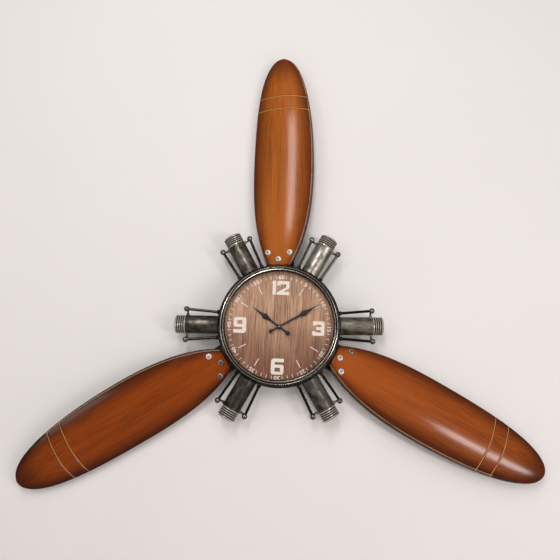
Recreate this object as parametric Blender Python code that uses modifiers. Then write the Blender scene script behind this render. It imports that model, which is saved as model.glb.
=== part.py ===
"""Three-blade propeller wall clock with a radial-engine hub.

Metres, +Z up, +X right. The wall is the plane y = 0 and the clock stands in front of it, at y < 0.
The hub axis runs along Y through the origin. A depth is a distance in front of the wall, so y = -depth.
"""
import math

import bmesh
import bpy
from mathutils import Matrix, Vector

GAP = 0.0003

# Drum, bezel and what they hold, as radii about the hub axis and depths in front of the wall.
DRUM_RADIUS = 0.135
DRUM_WALL = 0.002
DRUM_BACK = 0.003
DRUM_FRONT = 0.0555
DRUM_SHOULDER = 0.0045
BACK_RING_INNER = 0.110
LIP_RADIUS = 0.1263
BEZEL_INNER_RADIUS = 0.118
BEZEL_SLEEVE_OUTER = LIP_RADIUS - GAP
BEZEL_SLEEVE_INNER = 0.124
STACK_RADIUS = BEZEL_SLEEVE_INNER - GAP
RETAINER_BACK = 0.0483
DIAL_BACK = 0.0503
DIAL_FRONT = 0.053
DIAL_CENTRE_Z = -0.0033
GLASS_BACK = 0.0623
GLASS_FRONT = 0.0643
BEZEL_FRONT = 0.068

# Quartz movement behind the dial.
MOVEMENT_SIDE = 0.056
MOVEMENT_BACK = 0.033
MOVEMENT_FRONT = 0.0497
MOVEMENT_WALL = 0.0015
BAY_WALL_X = 0.0107
COVER_THICKNESS = 0.0014
STEM_RADIUS = 0.0040
STEM_BORE = 0.0032
STEM_FRONT = 0.0556
NUT_RADIUS = 0.0058
NUT_THICKNESS = 0.0019
BATTERY_RADIUS = 0.0071
BATTERY_LENGTH = 0.0486
BATTERY_X = 0.0191
BATTERY_DEPTH = 0.0407

# Motion work: one module throughout, two meshes on the same centre distance.
MODULE = 0.00062
CANNON_TEETH = 10
MOTION_WHEEL_TEETH = 30
MOTION_PINION_TEETH = 8
HOUR_WHEEL_TEETH = 32
CENTRE_DISTANCE = MODULE * (CANNON_TEETH + MOTION_WHEEL_TEETH) / 2
ARBOR_RADIUS = 0.0017
ARBOR_DEPTHS = (0.036, 0.0603)
CANNON_DEPTHS = (0.0400, 0.0420)
MOTION_AXLE_RADIUS = 0.0012
MOTION_AXLE_DEPTHS = (0.0265, 0.0474)
MOTION_WHEEL_DEPTHS = (0.0404, 0.0416)
MOTION_PINION_DEPTHS = (0.0410, 0.0466)
PIPE_INNER = 0.0021
PIPE_OUTER = 0.0029
PIPE_FRONT = 0.0570
HOUR_WHEEL_DEPTHS = (0.0448, 0.0460)
KNOB_RADIUS = 0.0066
KNOB_LOBES = 12
KNOB_LOBE_HEIGHT = 0.0005
KNOB_THICKNESS = 0.006
KNOB_CLEARANCE = 0.0007

# Hands. Their rest angles are clockwise from the top.
HAND_THICKNESS = 0.0008
HOUR_HAND_BACK = 0.056
MINUTE_HAND_BACK = 0.0578
HOUR_HAND_ANGLE = 306.8
MINUTE_HAND_ANGLE = 61.3
HOUR_HAND_LENGTH = 0.0697
MINUTE_HAND_LENGTH = 0.1015

# Cylinder arms: barrel, ribbed head and two push rods each. Angles are from +X towards +Z.
ARM_ANGLES = (0.0, 60.0, 118.3, 179.2, 240.0, 300.0)
BARREL_RADIUS = 0.020
BARREL_WALL = 0.002
BARREL_DEPTH = 0.033
BARREL_END = 0.206
HEAD_END = 0.230
HEAD_RADIUS = 0.0203
RIB_COUNT = 4
RIB_PITCH = 0.0045
RIB_HEIGHT = 0.0017
BOSS_RADIUS = 0.0032
BOSS_REACH = 0.024
LINK_RADIUS = 0.002
LINK_RADIAL = 0.2025
ROD_RADIUS = 0.003
ROD_DEPTH = 0.037
ROD_FOOT_X = 0.028
BALL_X = 0.0339
BALL_RADIAL = 0.206
BALL_RADIUS = 0.00615

# Blades. The width curve is two cubic arcs: root to widest station, widest station to tip.
BLADE_ANGLES = (89.3, 211.0, 331.0)
BLADE_NAMES = ("top", "left", "right")
BLADE_ROOT = 0.138
BLADE_WIDEST = 0.365
BLADE_TIP = 0.650
ROOT_HALF_WIDTH = 0.026
BLADE_HALF_WIDTH = 0.0705
BLADE_BOW = 0.006
BLADE_PITCH = math.radians(11.0)
BLADE_SEAT_DEPTH = 0.0155
EDGE_THICKNESS = 0.017
TIP_EDGE_THICKNESS = 0.009
CROWN_HEIGHT = 0.011
BOLT_SPREAD = 0.0249
BOLT_OUTER_RADIAL = 0.1665
BOLT_INNER_RADIAL = 0.1507
BOLT_HEAD_RADIUS = 0.0065
BOLT_HEAD_HEIGHT = 0.0034
BOLT_SHANK_RADIUS = 0.003
BOLT_HOLE_RADIUS = 0.0033
SIDE_SEAT_RISE = 0.0022
MIDDLE_SEAT_RISE = 0.0042
BRACKET_THICKNESS = 0.003
BRACKET_HALF_WIDTH = 0.032
BRACKET_END = 0.186
FOOT_HALF_WIDTH = 0.024
FOOT_HEIGHT = 0.014

# Hanger bar across the back of the drum.
BAR_WIDTH = 0.022
BAR_THICKNESS = 0.0027
BAR_HALF_LENGTH = 0.126
BAR_SCREW_Z = 0.119
BAR_SCREW_HOLE = 0.0022
KEYHOLE_Z = 0.086
KEYHOLE_RADIUS = 0.005
KEYHOLE_SLOT_RADIUS = 0.0026
KEYHOLE_SLOT_LENGTH = 0.011

RING_STEPS = 48
TUBE_STEPS = 20
SMALL_STEPS = 12


# ---------------------------------------------------------------- scene and materials

for old in list(bpy.data.objects):
    bpy.data.objects.remove(old, do_unlink=True)

parts = bpy.data.collections.new("propeller_wall_clock")
cutters = bpy.data.collections.new("cutters")
for group in (parts, cutters):
    bpy.context.scene.collection.children.link(group)


def material(name, colour, roughness, metallic=0.0, alpha=1.0):
    """A Principled material."""
    made = bpy.data.materials.new(name)
    made.use_nodes = True
    shader = made.node_tree.nodes["Principled BSDF"]
    shader.inputs["Base Color"].default_value = (*colour, 1.0)
    shader.inputs["Roughness"].default_value = roughness
    shader.inputs["Metallic"].default_value = metallic
    shader.inputs["Alpha"].default_value = alpha
    return made


GUNMETAL = material("gunmetal", (0.10, 0.10, 0.095), 0.38, 0.9)
WORN_STEEL = material("worn_steel", (0.33, 0.31, 0.27), 0.34, 0.95)
DARK_STEEL = material("dark_steel", (0.06, 0.06, 0.06), 0.35, 0.9)
BRIGHT_STEEL = material("bright_steel", (0.62, 0.61, 0.59), 0.22, 1.0)
PLATED_STEEL = material("plated_steel", (0.42, 0.42, 0.41), 0.4, 0.9)
LACQUERED_WOOD = material("lacquered_wood", (0.42, 0.13, 0.025), 0.2)
DIAL_PRINT = material("dial_print", (0.36, 0.22, 0.15), 0.6)
HAND_BLACK = material("hand_black", (0.012, 0.011, 0.01), 0.45)
CLEAR_GLASS = material("clear_glass", (0.9, 0.95, 0.95), 0.02, 0.0, 0.12)
MOVEMENT_BLACK = material("movement_black", (0.02, 0.02, 0.02), 0.5)
BRASS = material("brass", (0.6, 0.42, 0.14), 0.3, 1.0)
WHITE_NYLON = material("white_nylon", (0.75, 0.74, 0.7), 0.45)
CELL_WRAP = material("cell_wrap", (0.05, 0.12, 0.2), 0.35)


# ---------------------------------------------------------------- modelling helpers

def place(name, mesh, finish, parent=None, location=(0, 0, 0), rotation=(0, 0, 0)):
    """One named sub-part in the object's collection."""
    piece = bpy.data.objects.new(name, mesh)
    if finish.name not in mesh.materials:
        mesh.materials.append(finish)
    piece.parent = parent
    piece.location = location
    piece.rotation_euler = rotation
    parts.objects.link(piece)
    return piece


def guide(name, parent=None, location=(0, 0, 0), rotation=(0, 0, 0)):
    """An empty that carries other pieces."""
    empty = bpy.data.objects.new(name, None)
    empty.empty_display_size = 0.02
    empty.parent = parent
    empty.location = location
    empty.rotation_euler = rotation
    parts.objects.link(empty)
    return empty


def tool(mesh, location=(0, 0, 0), rotation=(0, 0, 0)):
    """A hidden solid that cuts or joins."""
    piece = bpy.data.objects.new("tool", mesh)
    piece.location = location
    piece.rotation_euler = rotation
    piece.hide_render = True
    piece.display_type = "WIRE"
    cutters.objects.link(piece)
    return piece


def boolean(piece, other, operation):
    """Cut piece with other, or join other to it."""
    modifier = piece.modifiers.new(operation.lower(), "BOOLEAN")
    modifier.operation = operation
    modifier.solver = "EXACT"
    modifier.object = other


def baked(piece):
    """The evaluated mesh of a piece, which is then removed, so that copies can share the mesh."""
    bpy.context.view_layer.update()
    graph = bpy.context.evaluated_depsgraph_get()
    finished = bpy.data.meshes.new_from_object(piece.evaluated_get(graph))
    bpy.data.objects.remove(piece, do_unlink=True)
    finished.shade_smooth()
    finished.set_sharp_from_angle(angle=math.radians(35))
    return finished


def box_mesh(low, high):
    """A box between two corners."""
    work = bmesh.new()
    bmesh.ops.create_cube(work, size=1.0)
    size = [high[i] - low[i] for i in range(3)]
    middle = [(high[i] + low[i]) / 2 for i in range(3)]
    bmesh.ops.scale(work, vec=size, verts=work.verts)
    bmesh.ops.translate(work, vec=middle, verts=work.verts)
    return finish_mesh(work, "box")


def rod_mesh(radius, start, end, steps):
    """A plain cylinder between two points."""
    start = Vector(start)
    end = Vector(end)
    work = bmesh.new()
    turn = (end - start).to_track_quat("Z", "Y").to_matrix().to_4x4()
    frame = Matrix.Translation((start + end) / 2) @ turn
    bmesh.ops.create_cone(work, cap_ends=True, segments=steps, radius1=radius, radius2=radius,
                          depth=(end - start).length, matrix=frame)
    return finish_mesh(work, "rod")


def finish_mesh(work, name):
    """Turn a bmesh into a mesh with outward faces."""
    bmesh.ops.recalc_face_normals(work, faces=work.faces)
    mesh = bpy.data.meshes.new(name)
    work.to_mesh(mesh)
    work.free()
    return mesh


def profile_mesh(points, closed):
    """A profile in the XZ plane, as (radius, height) points down its outer side."""
    count = len(points)
    edges = [(i, i + 1) for i in range(count - 1)]
    if closed:
        edges.append((count - 1, 0))
    mesh = bpy.data.meshes.new("profile")
    mesh.from_pydata([(x, 0, z) for x, z in points], edges, [])
    return mesh


def spin(piece, steps):
    """Turn a profile about its object's Z axis."""
    screw = piece.modifiers.new("turned", "SCREW")
    screw.axis = "Z"
    screw.angle = math.tau
    screw.screw_offset = 0
    screw.steps = steps
    screw.render_steps = steps
    screw.use_merge_vertices = True
    screw.merge_threshold = 0.000005
    screw.use_smooth_shade = True


def turned(name, points, finish, steps, closed=True):
    """A ring (closed profile) or a solid (profile that starts and ends on the axis) about the hub axis."""
    piece = place(name, profile_mesh(points, closed), finish, rotation=(math.radians(90), 0, 0))
    spin(piece, steps)
    return piece


def turned_mesh(points, steps, closed=False):
    """A turned solid about Z, as a mesh that copies share."""
    piece = tool(profile_mesh(points, closed))
    spin(piece, steps)
    return baked(piece)


def plate_mesh(outline, thickness):
    """A flat plate in the XY plane from an outline, centred on z = 0."""
    flat = bpy.data.curves.new("outline", "CURVE")
    flat.dimensions = "2D"
    flat.fill_mode = "BOTH"
    flat.extrude = thickness / 2
    path = flat.splines.new("POLY")
    path.points.add(len(outline) - 1)
    for point, (x, y) in zip(path.points, outline):
        point.co = (x, y, 0, 1)
    path.use_cyclic_u = True
    sheet = bpy.data.objects.new("outline", flat)
    cutters.objects.link(sheet)
    mesh = baked(sheet)
    work = bmesh.new()
    work.from_mesh(mesh)
    bmesh.ops.remove_doubles(work, verts=work.verts, dist=0.000002)
    return finish_mesh(work, "plate")


def hub_hole(radius, x=0.0, steps=32):
    """A cutter along the hands' axis direction, through everything."""
    return tool(rod_mesh(radius, (x, 0.01, DIAL_CENTRE_Z), (x, -0.09, DIAL_CENTRE_Z), steps))


# ---------------------------------------------------------------- drum, bezel, dial and glass

def make_drum():
    """Pressed-steel wall with an in-turned lip in front, and the flat ring welded inside its back edge."""
    inner = DRUM_RADIUS - DRUM_WALL
    straight = DRUM_FRONT - DRUM_SHOULDER
    shoulder = [(DRUM_RADIUS - DRUM_SHOULDER * (1 - math.cos(math.radians(a))),
                 straight + DRUM_SHOULDER * math.sin(math.radians(a))) for a in (90, 45, 0)]
    points = [(LIP_RADIUS, DRUM_FRONT), *shoulder,
              (DRUM_RADIUS, DRUM_BACK), (inner, DRUM_BACK), (inner, straight),
              (inner - 0.003, DRUM_FRONT - DRUM_WALL), (LIP_RADIUS, DRUM_FRONT - DRUM_WALL)]
    turned("drum_case", points, GUNMETAL, RING_STEPS)
    ring = flat_ring("back_ring", BACK_RING_INNER, inner - GAP, DRUM_BACK, DRUM_BACK + DRUM_WALL, GUNMETAL)
    for z in (-BAR_SCREW_Z, BAR_SCREW_Z):
        hole = tool(rod_mesh(BAR_SCREW_HOLE, (0, 0, z), (0, -0.012, z), 16))
        boolean(ring, hole, "DIFFERENCE")


def flat_ring(name, inner, outer, back, front, finish):
    """A plain ring of square section."""
    return turned(name, [(inner, front), (outer, front), (outer, back), (inner, back)], finish, RING_STEPS)


def make_bezel():
    """Ring with two rolled beads in front and a sleeve that plugs into the drum's lip."""
    front = BEZEL_FRONT
    points = [(BEZEL_INNER_RADIUS, front - 0.0028), (0.1216, front - 0.0008), (0.1237, front - 0.0027),
              (0.1255, front - 0.0004), (0.1278, front - 0.0002), (0.1294, front - 0.0024),
              (0.1314, DRUM_FRONT + GAP),
              (BEZEL_SLEEVE_OUTER, DRUM_FRONT + GAP), (BEZEL_SLEEVE_OUTER, RETAINER_BACK),
              (BEZEL_SLEEVE_INNER, RETAINER_BACK), (BEZEL_SLEEVE_INNER, GLASS_FRONT + GAP),
              (BEZEL_INNER_RADIUS, GLASS_FRONT + GAP)]
    turned("bezel", points, GUNMETAL, RING_STEPS)


def make_dial_stack():
    """Glass, spacer, dial and the ring that keeps them in the bezel's sleeve."""
    flat_ring("spacer_ring", BEZEL_INNER_RADIUS + 0.001, STACK_RADIUS,
              DIAL_FRONT + GAP, GLASS_BACK - GAP, DARK_STEEL)
    flat_ring("retaining_ring", 0.115, STACK_RADIUS, RETAINER_BACK, DIAL_BACK - GAP, PLATED_STEEL)
    dial = turned("dial", [(0, DIAL_FRONT), (STACK_RADIUS, DIAL_FRONT), (STACK_RADIUS, DIAL_BACK),
                           (0, DIAL_BACK)], DIAL_PRINT, RING_STEPS, closed=False)
    boolean(dial, hub_hole(STEM_RADIUS + GAP), "DIFFERENCE")
    turned("glass_lens", [(0, GLASS_FRONT), (STACK_RADIUS, GLASS_FRONT), (STACK_RADIUS, GLASS_BACK),
                          (0, GLASS_BACK)], CLEAR_GLASS, RING_STEPS, closed=False)


# ---------------------------------------------------------------- hanger bar

def make_hanger():
    """Flat steel bar with a keyhole, and the two screws that hold it to the back ring."""
    half = BAR_WIDTH / 2
    mesh = box_mesh((-half, -BAR_THICKNESS, -BAR_HALF_LENGTH), (half, 0, BAR_HALF_LENGTH))
    bar = place("hanger_bar", mesh, PLATED_STEEL)
    through = 0.01
    slot_top = KEYHOLE_Z + KEYHOLE_SLOT_LENGTH
    entry = rod_mesh(KEYHOLE_RADIUS, (0, through, KEYHOLE_Z), (0, -through, KEYHOLE_Z), 24)
    boolean(bar, tool(entry), "DIFFERENCE")
    neck = KEYHOLE_SLOT_RADIUS
    slot = box_mesh((-neck, -through, KEYHOLE_Z), (neck, through, slot_top))
    boolean(bar, tool(slot), "DIFFERENCE")
    stop = rod_mesh(neck + 0.00001, (0, through, slot_top), (0, -through, slot_top), 16)
    boolean(bar, tool(stop), "DIFFERENCE")
    head_back = DRUM_BACK + DRUM_WALL + GAP
    screw = turned_mesh([(0, head_back + 0.0024), (0.0022, head_back + 0.0021),
                         (0.0038, head_back + 0.001), (0.004, head_back), (0.0019, head_back),
                         (0.0019, 0.0002), (0, 0.0002)], SMALL_STEPS)
    for label, z in (("top", BAR_SCREW_Z), ("bottom", -BAR_SCREW_Z)):
        hole = tool(rod_mesh(BAR_SCREW_HOLE, (0, through, z), (0, -through, z), 16))
        boolean(bar, hole, "DIFFERENCE")
        place("bar_screw_" + label, screw, BRIGHT_STEEL, location=(0, 0, z),
              rotation=(math.radians(90), 0, 0))


# ---------------------------------------------------------------- movement

def make_movement_case():
    """Moulded box, open at the back, with the threaded stem and a wall beside the battery bay."""
    half = MOVEMENT_SIDE / 2
    inner = half - MOVEMENT_WALL
    front = MOVEMENT_FRONT
    middle = DIAL_CENTRE_Z
    case = place("movement_case",
                 box_mesh((-half, -front, middle - half), (half, -MOVEMENT_BACK, middle + half)),
                 MOVEMENT_BLACK)
    floor = -(front - MOVEMENT_WALL)
    gear_room = box_mesh((-inner, floor, middle - inner), (BAY_WALL_X, 0, middle + inner))
    battery_bay = box_mesh((BAY_WALL_X + 0.001, floor, middle - inner), (inner, 0, middle + inner))
    stem = rod_mesh(STEM_RADIUS, (0, floor, middle), (0, -STEM_FRONT, middle), 24)
    boolean(case, tool(gear_room), "DIFFERENCE")
    boolean(case, tool(battery_bay), "DIFFERENCE")
    boolean(case, tool(stem), "UNION")
    boolean(case, hub_hole(STEM_BORE, steps=24), "DIFFERENCE")


def make_movement_cover():
    """Plate behind the gear room, with a clearance hole for the motion wheel's arbor."""
    half = MOVEMENT_SIDE / 2
    front = -(MOVEMENT_BACK - GAP)
    cover = place("movement_cover",
                  box_mesh((-half, front, DIAL_CENTRE_Z - half),
                           (BAY_WALL_X + 0.001, front + COVER_THICKNESS, DIAL_CENTRE_Z + half)),
                  MOVEMENT_BLACK)
    boolean(cover, hub_hole(0.0016, x=-CENTRE_DISTANCE, steps=16), "DIFFERENCE")


def make_battery():
    """AA cell with its positive button at the top."""
    half = BATTERY_LENGTH / 2
    r = BATTERY_RADIUS
    points = [(0, half + 0.001), (0.0026, half + 0.001), (0.0026, half), (r - 0.0006, half),
              (r, half - 0.0006), (r, 0.0006 - half), (r - 0.0006, -half), (0, -half)]
    place("battery", turned_mesh(points, 20), CELL_WRAP, location=(BATTERY_X, -BATTERY_DEPTH, DIAL_CENTRE_Z))


def make_stem_nut():
    """Hexagonal nut that clamps the movement to the dial."""
    hexagon = [(NUT_RADIUS * math.cos(math.radians(60 * i)), NUT_RADIUS * math.sin(math.radians(60 * i)))
               for i in range(6)]
    nut = place("stem_nut", plate_mesh(hexagon, NUT_THICKNESS), DARK_STEEL,
                location=(0, -(DIAL_FRONT + GAP + NUT_THICKNESS / 2), DIAL_CENTRE_Z),
                rotation=(math.radians(90), 0, 0))
    boolean(nut, hub_hole(STEM_RADIUS + GAP, steps=24), "DIFFERENCE")


def gear_outline(teeth, centre_angle, tooth_there):
    """Straight-flanked clock teeth. A tooth, or a gap, is centred on centre_angle."""
    pitch_radius = MODULE * teeth / 2
    pitch = math.tau / teeth
    start = centre_angle if tooth_there else centre_angle + pitch / 2
    root = pitch_radius - 1.25 * MODULE
    tip = pitch_radius + 0.8 * MODULE
    corners = ((root, -0.27), (tip, -0.09), (tip, 0.09), (root, 0.27))
    return [(r * math.cos(start + (i + part) * pitch), r * math.sin(start + (i + part) * pitch))
            for i in range(teeth) for r, part in corners]


def gear_tool(teeth, centre_angle, tooth_there, x, depths):
    """A toothed disc between two depths, to be joined to an arbor."""
    back, front = depths
    disc = plate_mesh(gear_outline(teeth, centre_angle, tooth_there), front - back)
    return tool(disc, location=(x, -(back + front) / 2, DIAL_CENTRE_Z), rotation=(math.radians(90), 0, 0))


def arbor_mesh(radius, depths, steps, x=0.0):
    """A rod along the hands' axis direction between two depths."""
    back, front = depths
    return rod_mesh(radius, (x, -back, DIAL_CENTRE_Z), (x, -front, DIAL_CENTRE_Z), steps)


def make_motion_work():
    """Minute arbor with its cannon pinion, motion wheel with its pinion, and hour wheel with its pipe."""
    side = math.pi
    arbor = place("minute_arbor", arbor_mesh(ARBOR_RADIUS, ARBOR_DEPTHS, 16), BRASS)
    boolean(arbor, gear_tool(CANNON_TEETH, side, True, 0, CANNON_DEPTHS), "UNION")

    motion_x = -CENTRE_DISTANCE
    motion = place("motion_wheel", arbor_mesh(MOTION_AXLE_RADIUS, MOTION_AXLE_DEPTHS, 12), WHITE_NYLON,
                   location=(motion_x, 0, 0))
    wheel = gear_tool(MOTION_WHEEL_TEETH, 0, False, motion_x, MOTION_WHEEL_DEPTHS)
    pinion = gear_tool(MOTION_PINION_TEETH, 0, True, motion_x, MOTION_PINION_DEPTHS)
    boolean(motion, wheel, "UNION")
    boolean(motion, pinion, "UNION")

    pipe = arbor_mesh(PIPE_OUTER, (HOUR_WHEEL_DEPTHS[0], PIPE_FRONT), 20)
    hour = place("hour_wheel", pipe, WHITE_NYLON)
    boolean(hour, gear_tool(HOUR_WHEEL_TEETH, side, False, 0, HOUR_WHEEL_DEPTHS), "UNION")
    boolean(hour, hub_hole(PIPE_INNER, steps=20), "DIFFERENCE")


def make_set_knob():
    """Fluted knob on the motion wheel's arbor, behind the cover, for setting the hands."""
    x = -CENTRE_DISTANCE
    front = MOVEMENT_BACK - GAP - COVER_THICKNESS - KNOB_CLEARANCE
    count = 4 * KNOB_LOBES
    outline = []
    for i in range(count):
        angle = math.tau * i / count
        radius = KNOB_RADIUS + KNOB_LOBE_HEIGHT * math.cos(KNOB_LOBES * angle)
        outline.append((radius * math.cos(angle), radius * math.sin(angle)))
    knob = place("set_knob", plate_mesh(outline, KNOB_THICKNESS), MOVEMENT_BLACK,
                 location=(x, -(front - KNOB_THICKNESS / 2), DIAL_CENTRE_Z),
                 rotation=(math.radians(90), 0, 0))
    socket_depths = (MOTION_AXLE_DEPTHS[0] - GAP, MOVEMENT_FRONT)
    boolean(knob, tool(arbor_mesh(MOTION_AXLE_RADIUS + GAP, socket_depths, 12, x)), "DIFFERENCE")


# ---------------------------------------------------------------- hands

def arc(x, y, radius, start, end, count):
    """Points on a circle, angles in degrees."""
    return [(x + radius * math.cos(math.radians(start + (end - start) * i / count)),
             y + radius * math.sin(math.radians(start + (end - start) * i / count)))
            for i in range(count + 1)]


def hand_outline(length, swell, swell_length, swell_half, stalk_half, tail, tail_radius):
    """A hand pointing along +Y: needle, lozenge, stalk, round hub and a tail with a round end."""
    right = [(0.0004, length), (stalk_half * 0.75, swell + swell_length / 2),
             (swell_half, swell + swell_length * 0.08), (swell_half * 0.8, swell - swell_length * 0.2),
             (stalk_half, swell - swell_length / 2)]
    right += arc(0, 0, 0.0052, 70, -70, 4)
    right += [(stalk_half, -(tail - tail_radius * 1.3))]
    right += arc(0, -tail, tail_radius, 60, -90, 4)
    left = [(-x, y) for x, y in reversed(right[:-1])]
    return right + left


def make_hand(name, back, angle, bore, outline):
    """A stamped hand with a collet on its arbor, turned clockwise from the top by angle."""
    hand = place(name, plate_mesh(outline, HAND_THICKNESS), HAND_BLACK,
                 location=(0, -(back + HAND_THICKNESS / 2), DIAL_CENTRE_Z),
                 rotation=(math.radians(90), math.radians(angle), 0))
    collet = rod_mesh(bore + 0.0015, (0, -(back - 0.0003), DIAL_CENTRE_Z),
                      (0, -(back + 0.0012), DIAL_CENTRE_Z), 24)
    boolean(hand, tool(collet), "UNION")
    boolean(hand, hub_hole(bore, steps=20), "DIFFERENCE")


def make_hands():
    """Hour hand on the pipe, minute hand on the arbor, and the cap nut in front."""
    make_hand("hour_hand", HOUR_HAND_BACK, HOUR_HAND_ANGLE, PIPE_OUTER + GAP,
              hand_outline(HOUR_HAND_LENGTH, 0.037, 0.028, 0.0062, 0.0020, 0.0236, 0.0048))
    make_hand("minute_hand", MINUTE_HAND_BACK, MINUTE_HAND_ANGLE, ARBOR_RADIUS + GAP,
              hand_outline(MINUTE_HAND_LENGTH, 0.063, 0.031, 0.0060, 0.0020, 0.0208, 0.0042))
    back = MINUTE_HAND_BACK + 0.0012 + GAP
    bore = ARBOR_RADIUS + GAP
    nut = turned("hand_nut", [(0, 0.0615), (0.0016, 0.0612), (0.0028, 0.0603), (0.0034, back),
                              (bore, back), (bore, 0.0606), (0, 0.0606)], HAND_BLACK, 20, closed=False)
    nut.location.z = DIAL_CENTRE_Z


# ---------------------------------------------------------------- cylinder arms

def drum_cutter():
    """A cylinder just larger than the drum wall, which trims what butts against it."""
    reach = DRUM_RADIUS + 0.0004
    return tool(rod_mesh(reach, (0, 0.02, 0), (0, -0.10, 0), RING_STEPS))


def barrel_shape():
    """Tube that follows the drum wall at its foot, with a boss each side for the rocker links."""
    outer = BARREL_RADIUS
    inner = outer - BARREL_WALL
    foot = 0.120
    barrel = tool(profile_mesh([(inner, BARREL_END), (outer, BARREL_END), (outer, foot), (inner, foot)],
                               True), location=(0, -BARREL_DEPTH, 0))
    spin(barrel, TUBE_STEPS)
    for sign in (-1, 1):
        boss = rod_mesh(BOSS_RADIUS, (sign * (inner + GAP), -ROD_DEPTH, LINK_RADIAL),
                        (sign * BOSS_REACH, -ROD_DEPTH, LINK_RADIAL), SMALL_STEPS)
        boolean(barrel, tool(boss), "UNION")
    boolean(barrel, drum_cutter(), "DIFFERENCE")
    return baked(barrel)


def head_shape():
    """Ribbed cylinder head with a spigot that plugs into the barrel."""
    spigot = BARREL_RADIUS - BARREL_WALL - GAP
    shoulder = BARREL_END + GAP
    first = HEAD_END - 0.0035
    points = [(0, HEAD_END), (HEAD_RADIUS - 0.004, HEAD_END), (HEAD_RADIUS - 0.001, HEAD_END - 0.0015)]
    for i in range(RIB_COUNT):
        crest = first - i * RIB_PITCH
        points += [(HEAD_RADIUS, crest), (HEAD_RADIUS - RIB_HEIGHT, crest - RIB_PITCH / 2)]
    points += [(HEAD_RADIUS, first - RIB_COUNT * RIB_PITCH), (HEAD_RADIUS, shoulder),
               (spigot, shoulder), (spigot, BARREL_END - 0.010), (0, BARREL_END - 0.010)]
    return turned_mesh(points, TUBE_STEPS)


def push_rod_shape(sign):
    """Rod with a boss at the drum, a ball end, and the link from the ball towards the barrel."""
    lean = math.atan2(BALL_X - ROD_FOOT_X, BALL_RADIAL - DRUM_RADIUS)
    length = (BALL_RADIAL - DRUM_RADIUS) / math.cos(lean)
    foot = length + 0.012
    boss_top = length - 0.0035
    ball = [(BALL_RADIUS * math.sin(math.radians(a)), BALL_RADIUS * math.cos(math.radians(a)))
            for a in (0, 50, 100, 148)]
    points = ball + [(ROD_RADIUS, -BALL_RADIUS), (ROD_RADIUS, -boss_top), (0.0046, -boss_top - 0.0012),
                     (0.0046, -foot), (0, -foot)]
    location, rotation = rod_placing(sign, lean)
    rod = tool(profile_mesh(points, False), location, rotation)
    spin(rod, 10)
    link = rod_mesh(LINK_RADIUS, (sign * BALL_X, -ROD_DEPTH, LINK_RADIAL),
                    (sign * (BOSS_REACH + GAP), -ROD_DEPTH, LINK_RADIAL), 8)
    boolean(rod, tool(link), "UNION")
    boolean(rod, drum_cutter(), "DIFFERENCE")
    return baked(rod), location, rotation


def rod_placing(sign, lean):
    """Where a push rod's own frame sits on its arm."""
    return (sign * BALL_X, -ROD_DEPTH, BALL_RADIAL), (0, sign * lean, 0)


def arm_guide(name, angle):
    """An empty at the hub whose Z axis points out along an arm, and whose X axis is clockwise of it."""
    return guide(name, rotation=(0, math.radians(90 - angle), 0))


def make_cylinder_arms():
    """Six arms round the drum."""
    barrel = barrel_shape()
    head = head_shape()
    rods = {sign: push_rod_shape(sign) for sign in (-1, 1)}
    for number, angle in enumerate(ARM_ANGLES, start=1):
        arm = arm_guide("arm_%d" % number, angle)
        on_axis = (0, -BARREL_DEPTH, 0)
        place("cylinder_barrel_%d" % number, barrel, GUNMETAL, arm, on_axis)
        place("cylinder_head_%d" % number, head, WORN_STEEL, arm, on_axis)
        for sign, side in ((-1, "a"), (1, "b")):
            mesh, location, rotation = rods[sign]
            place("push_rod_%d%s" % (number, side), mesh, DARK_STEEL, arm, location, rotation)


# ---------------------------------------------------------------- blades

def cubic(a, b, c, d, t):
    """A point on a cubic Bezier arc."""
    s = 1 - t
    return [s ** 3 * p + 3 * s * s * t * q + 3 * s * t * t * r + t ** 3 * u
            for p, q, r, u in zip(a, b, c, d)]


def blade_stations(count_inner, count_outer):
    """(distance from the hub axis, half width) along the blade, closer together towards the tip."""
    inner = ((BLADE_ROOT, ROOT_HALF_WIDTH), (0.191, 0.0545), (0.255, BLADE_HALF_WIDTH),
             (BLADE_WIDEST, BLADE_HALF_WIDTH))
    outer = ((BLADE_WIDEST, BLADE_HALF_WIDTH), (0.540, BLADE_HALF_WIDTH), (BLADE_TIP, 0.048),
             (BLADE_TIP, 0.0))
    stations = [cubic(*inner, i / count_inner) for i in range(count_inner)]
    stations += [cubic(*outer, i / count_outer) for i in range(count_outer)]
    return stations


def blade_section(radial, half):
    """Closed ring of points of one section: flat back, rounded trailing side, crisp leading corner."""
    along = (radial - BLADE_ROOT) / (BLADE_TIP - BLADE_ROOT)
    shift = BLADE_BOW * math.sin(math.pi * along)
    edge = EDGE_THICKNESS + (TIP_EDGE_THICKNESS - EDGE_THICKNESS) * along ** 3
    narrow = half / BLADE_HALF_WIDTH
    crown = CROWN_HEIGHT * (0.25 + 0.75 * narrow) * narrow ** 0.5
    soft = min(0.007, half * 0.3)
    ring = [(half, 0.0), (-half + soft * 0.4, 0.0), (-half, soft * 0.4), (-half, edge - soft)]
    for step in range(-4, 6):
        reach = step / 5
        front = edge + crown * (1 - reach * reach)
        ring.append((reach * half, front))
    return [(x + shift, -front, radial) for x, front in ring]


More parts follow.
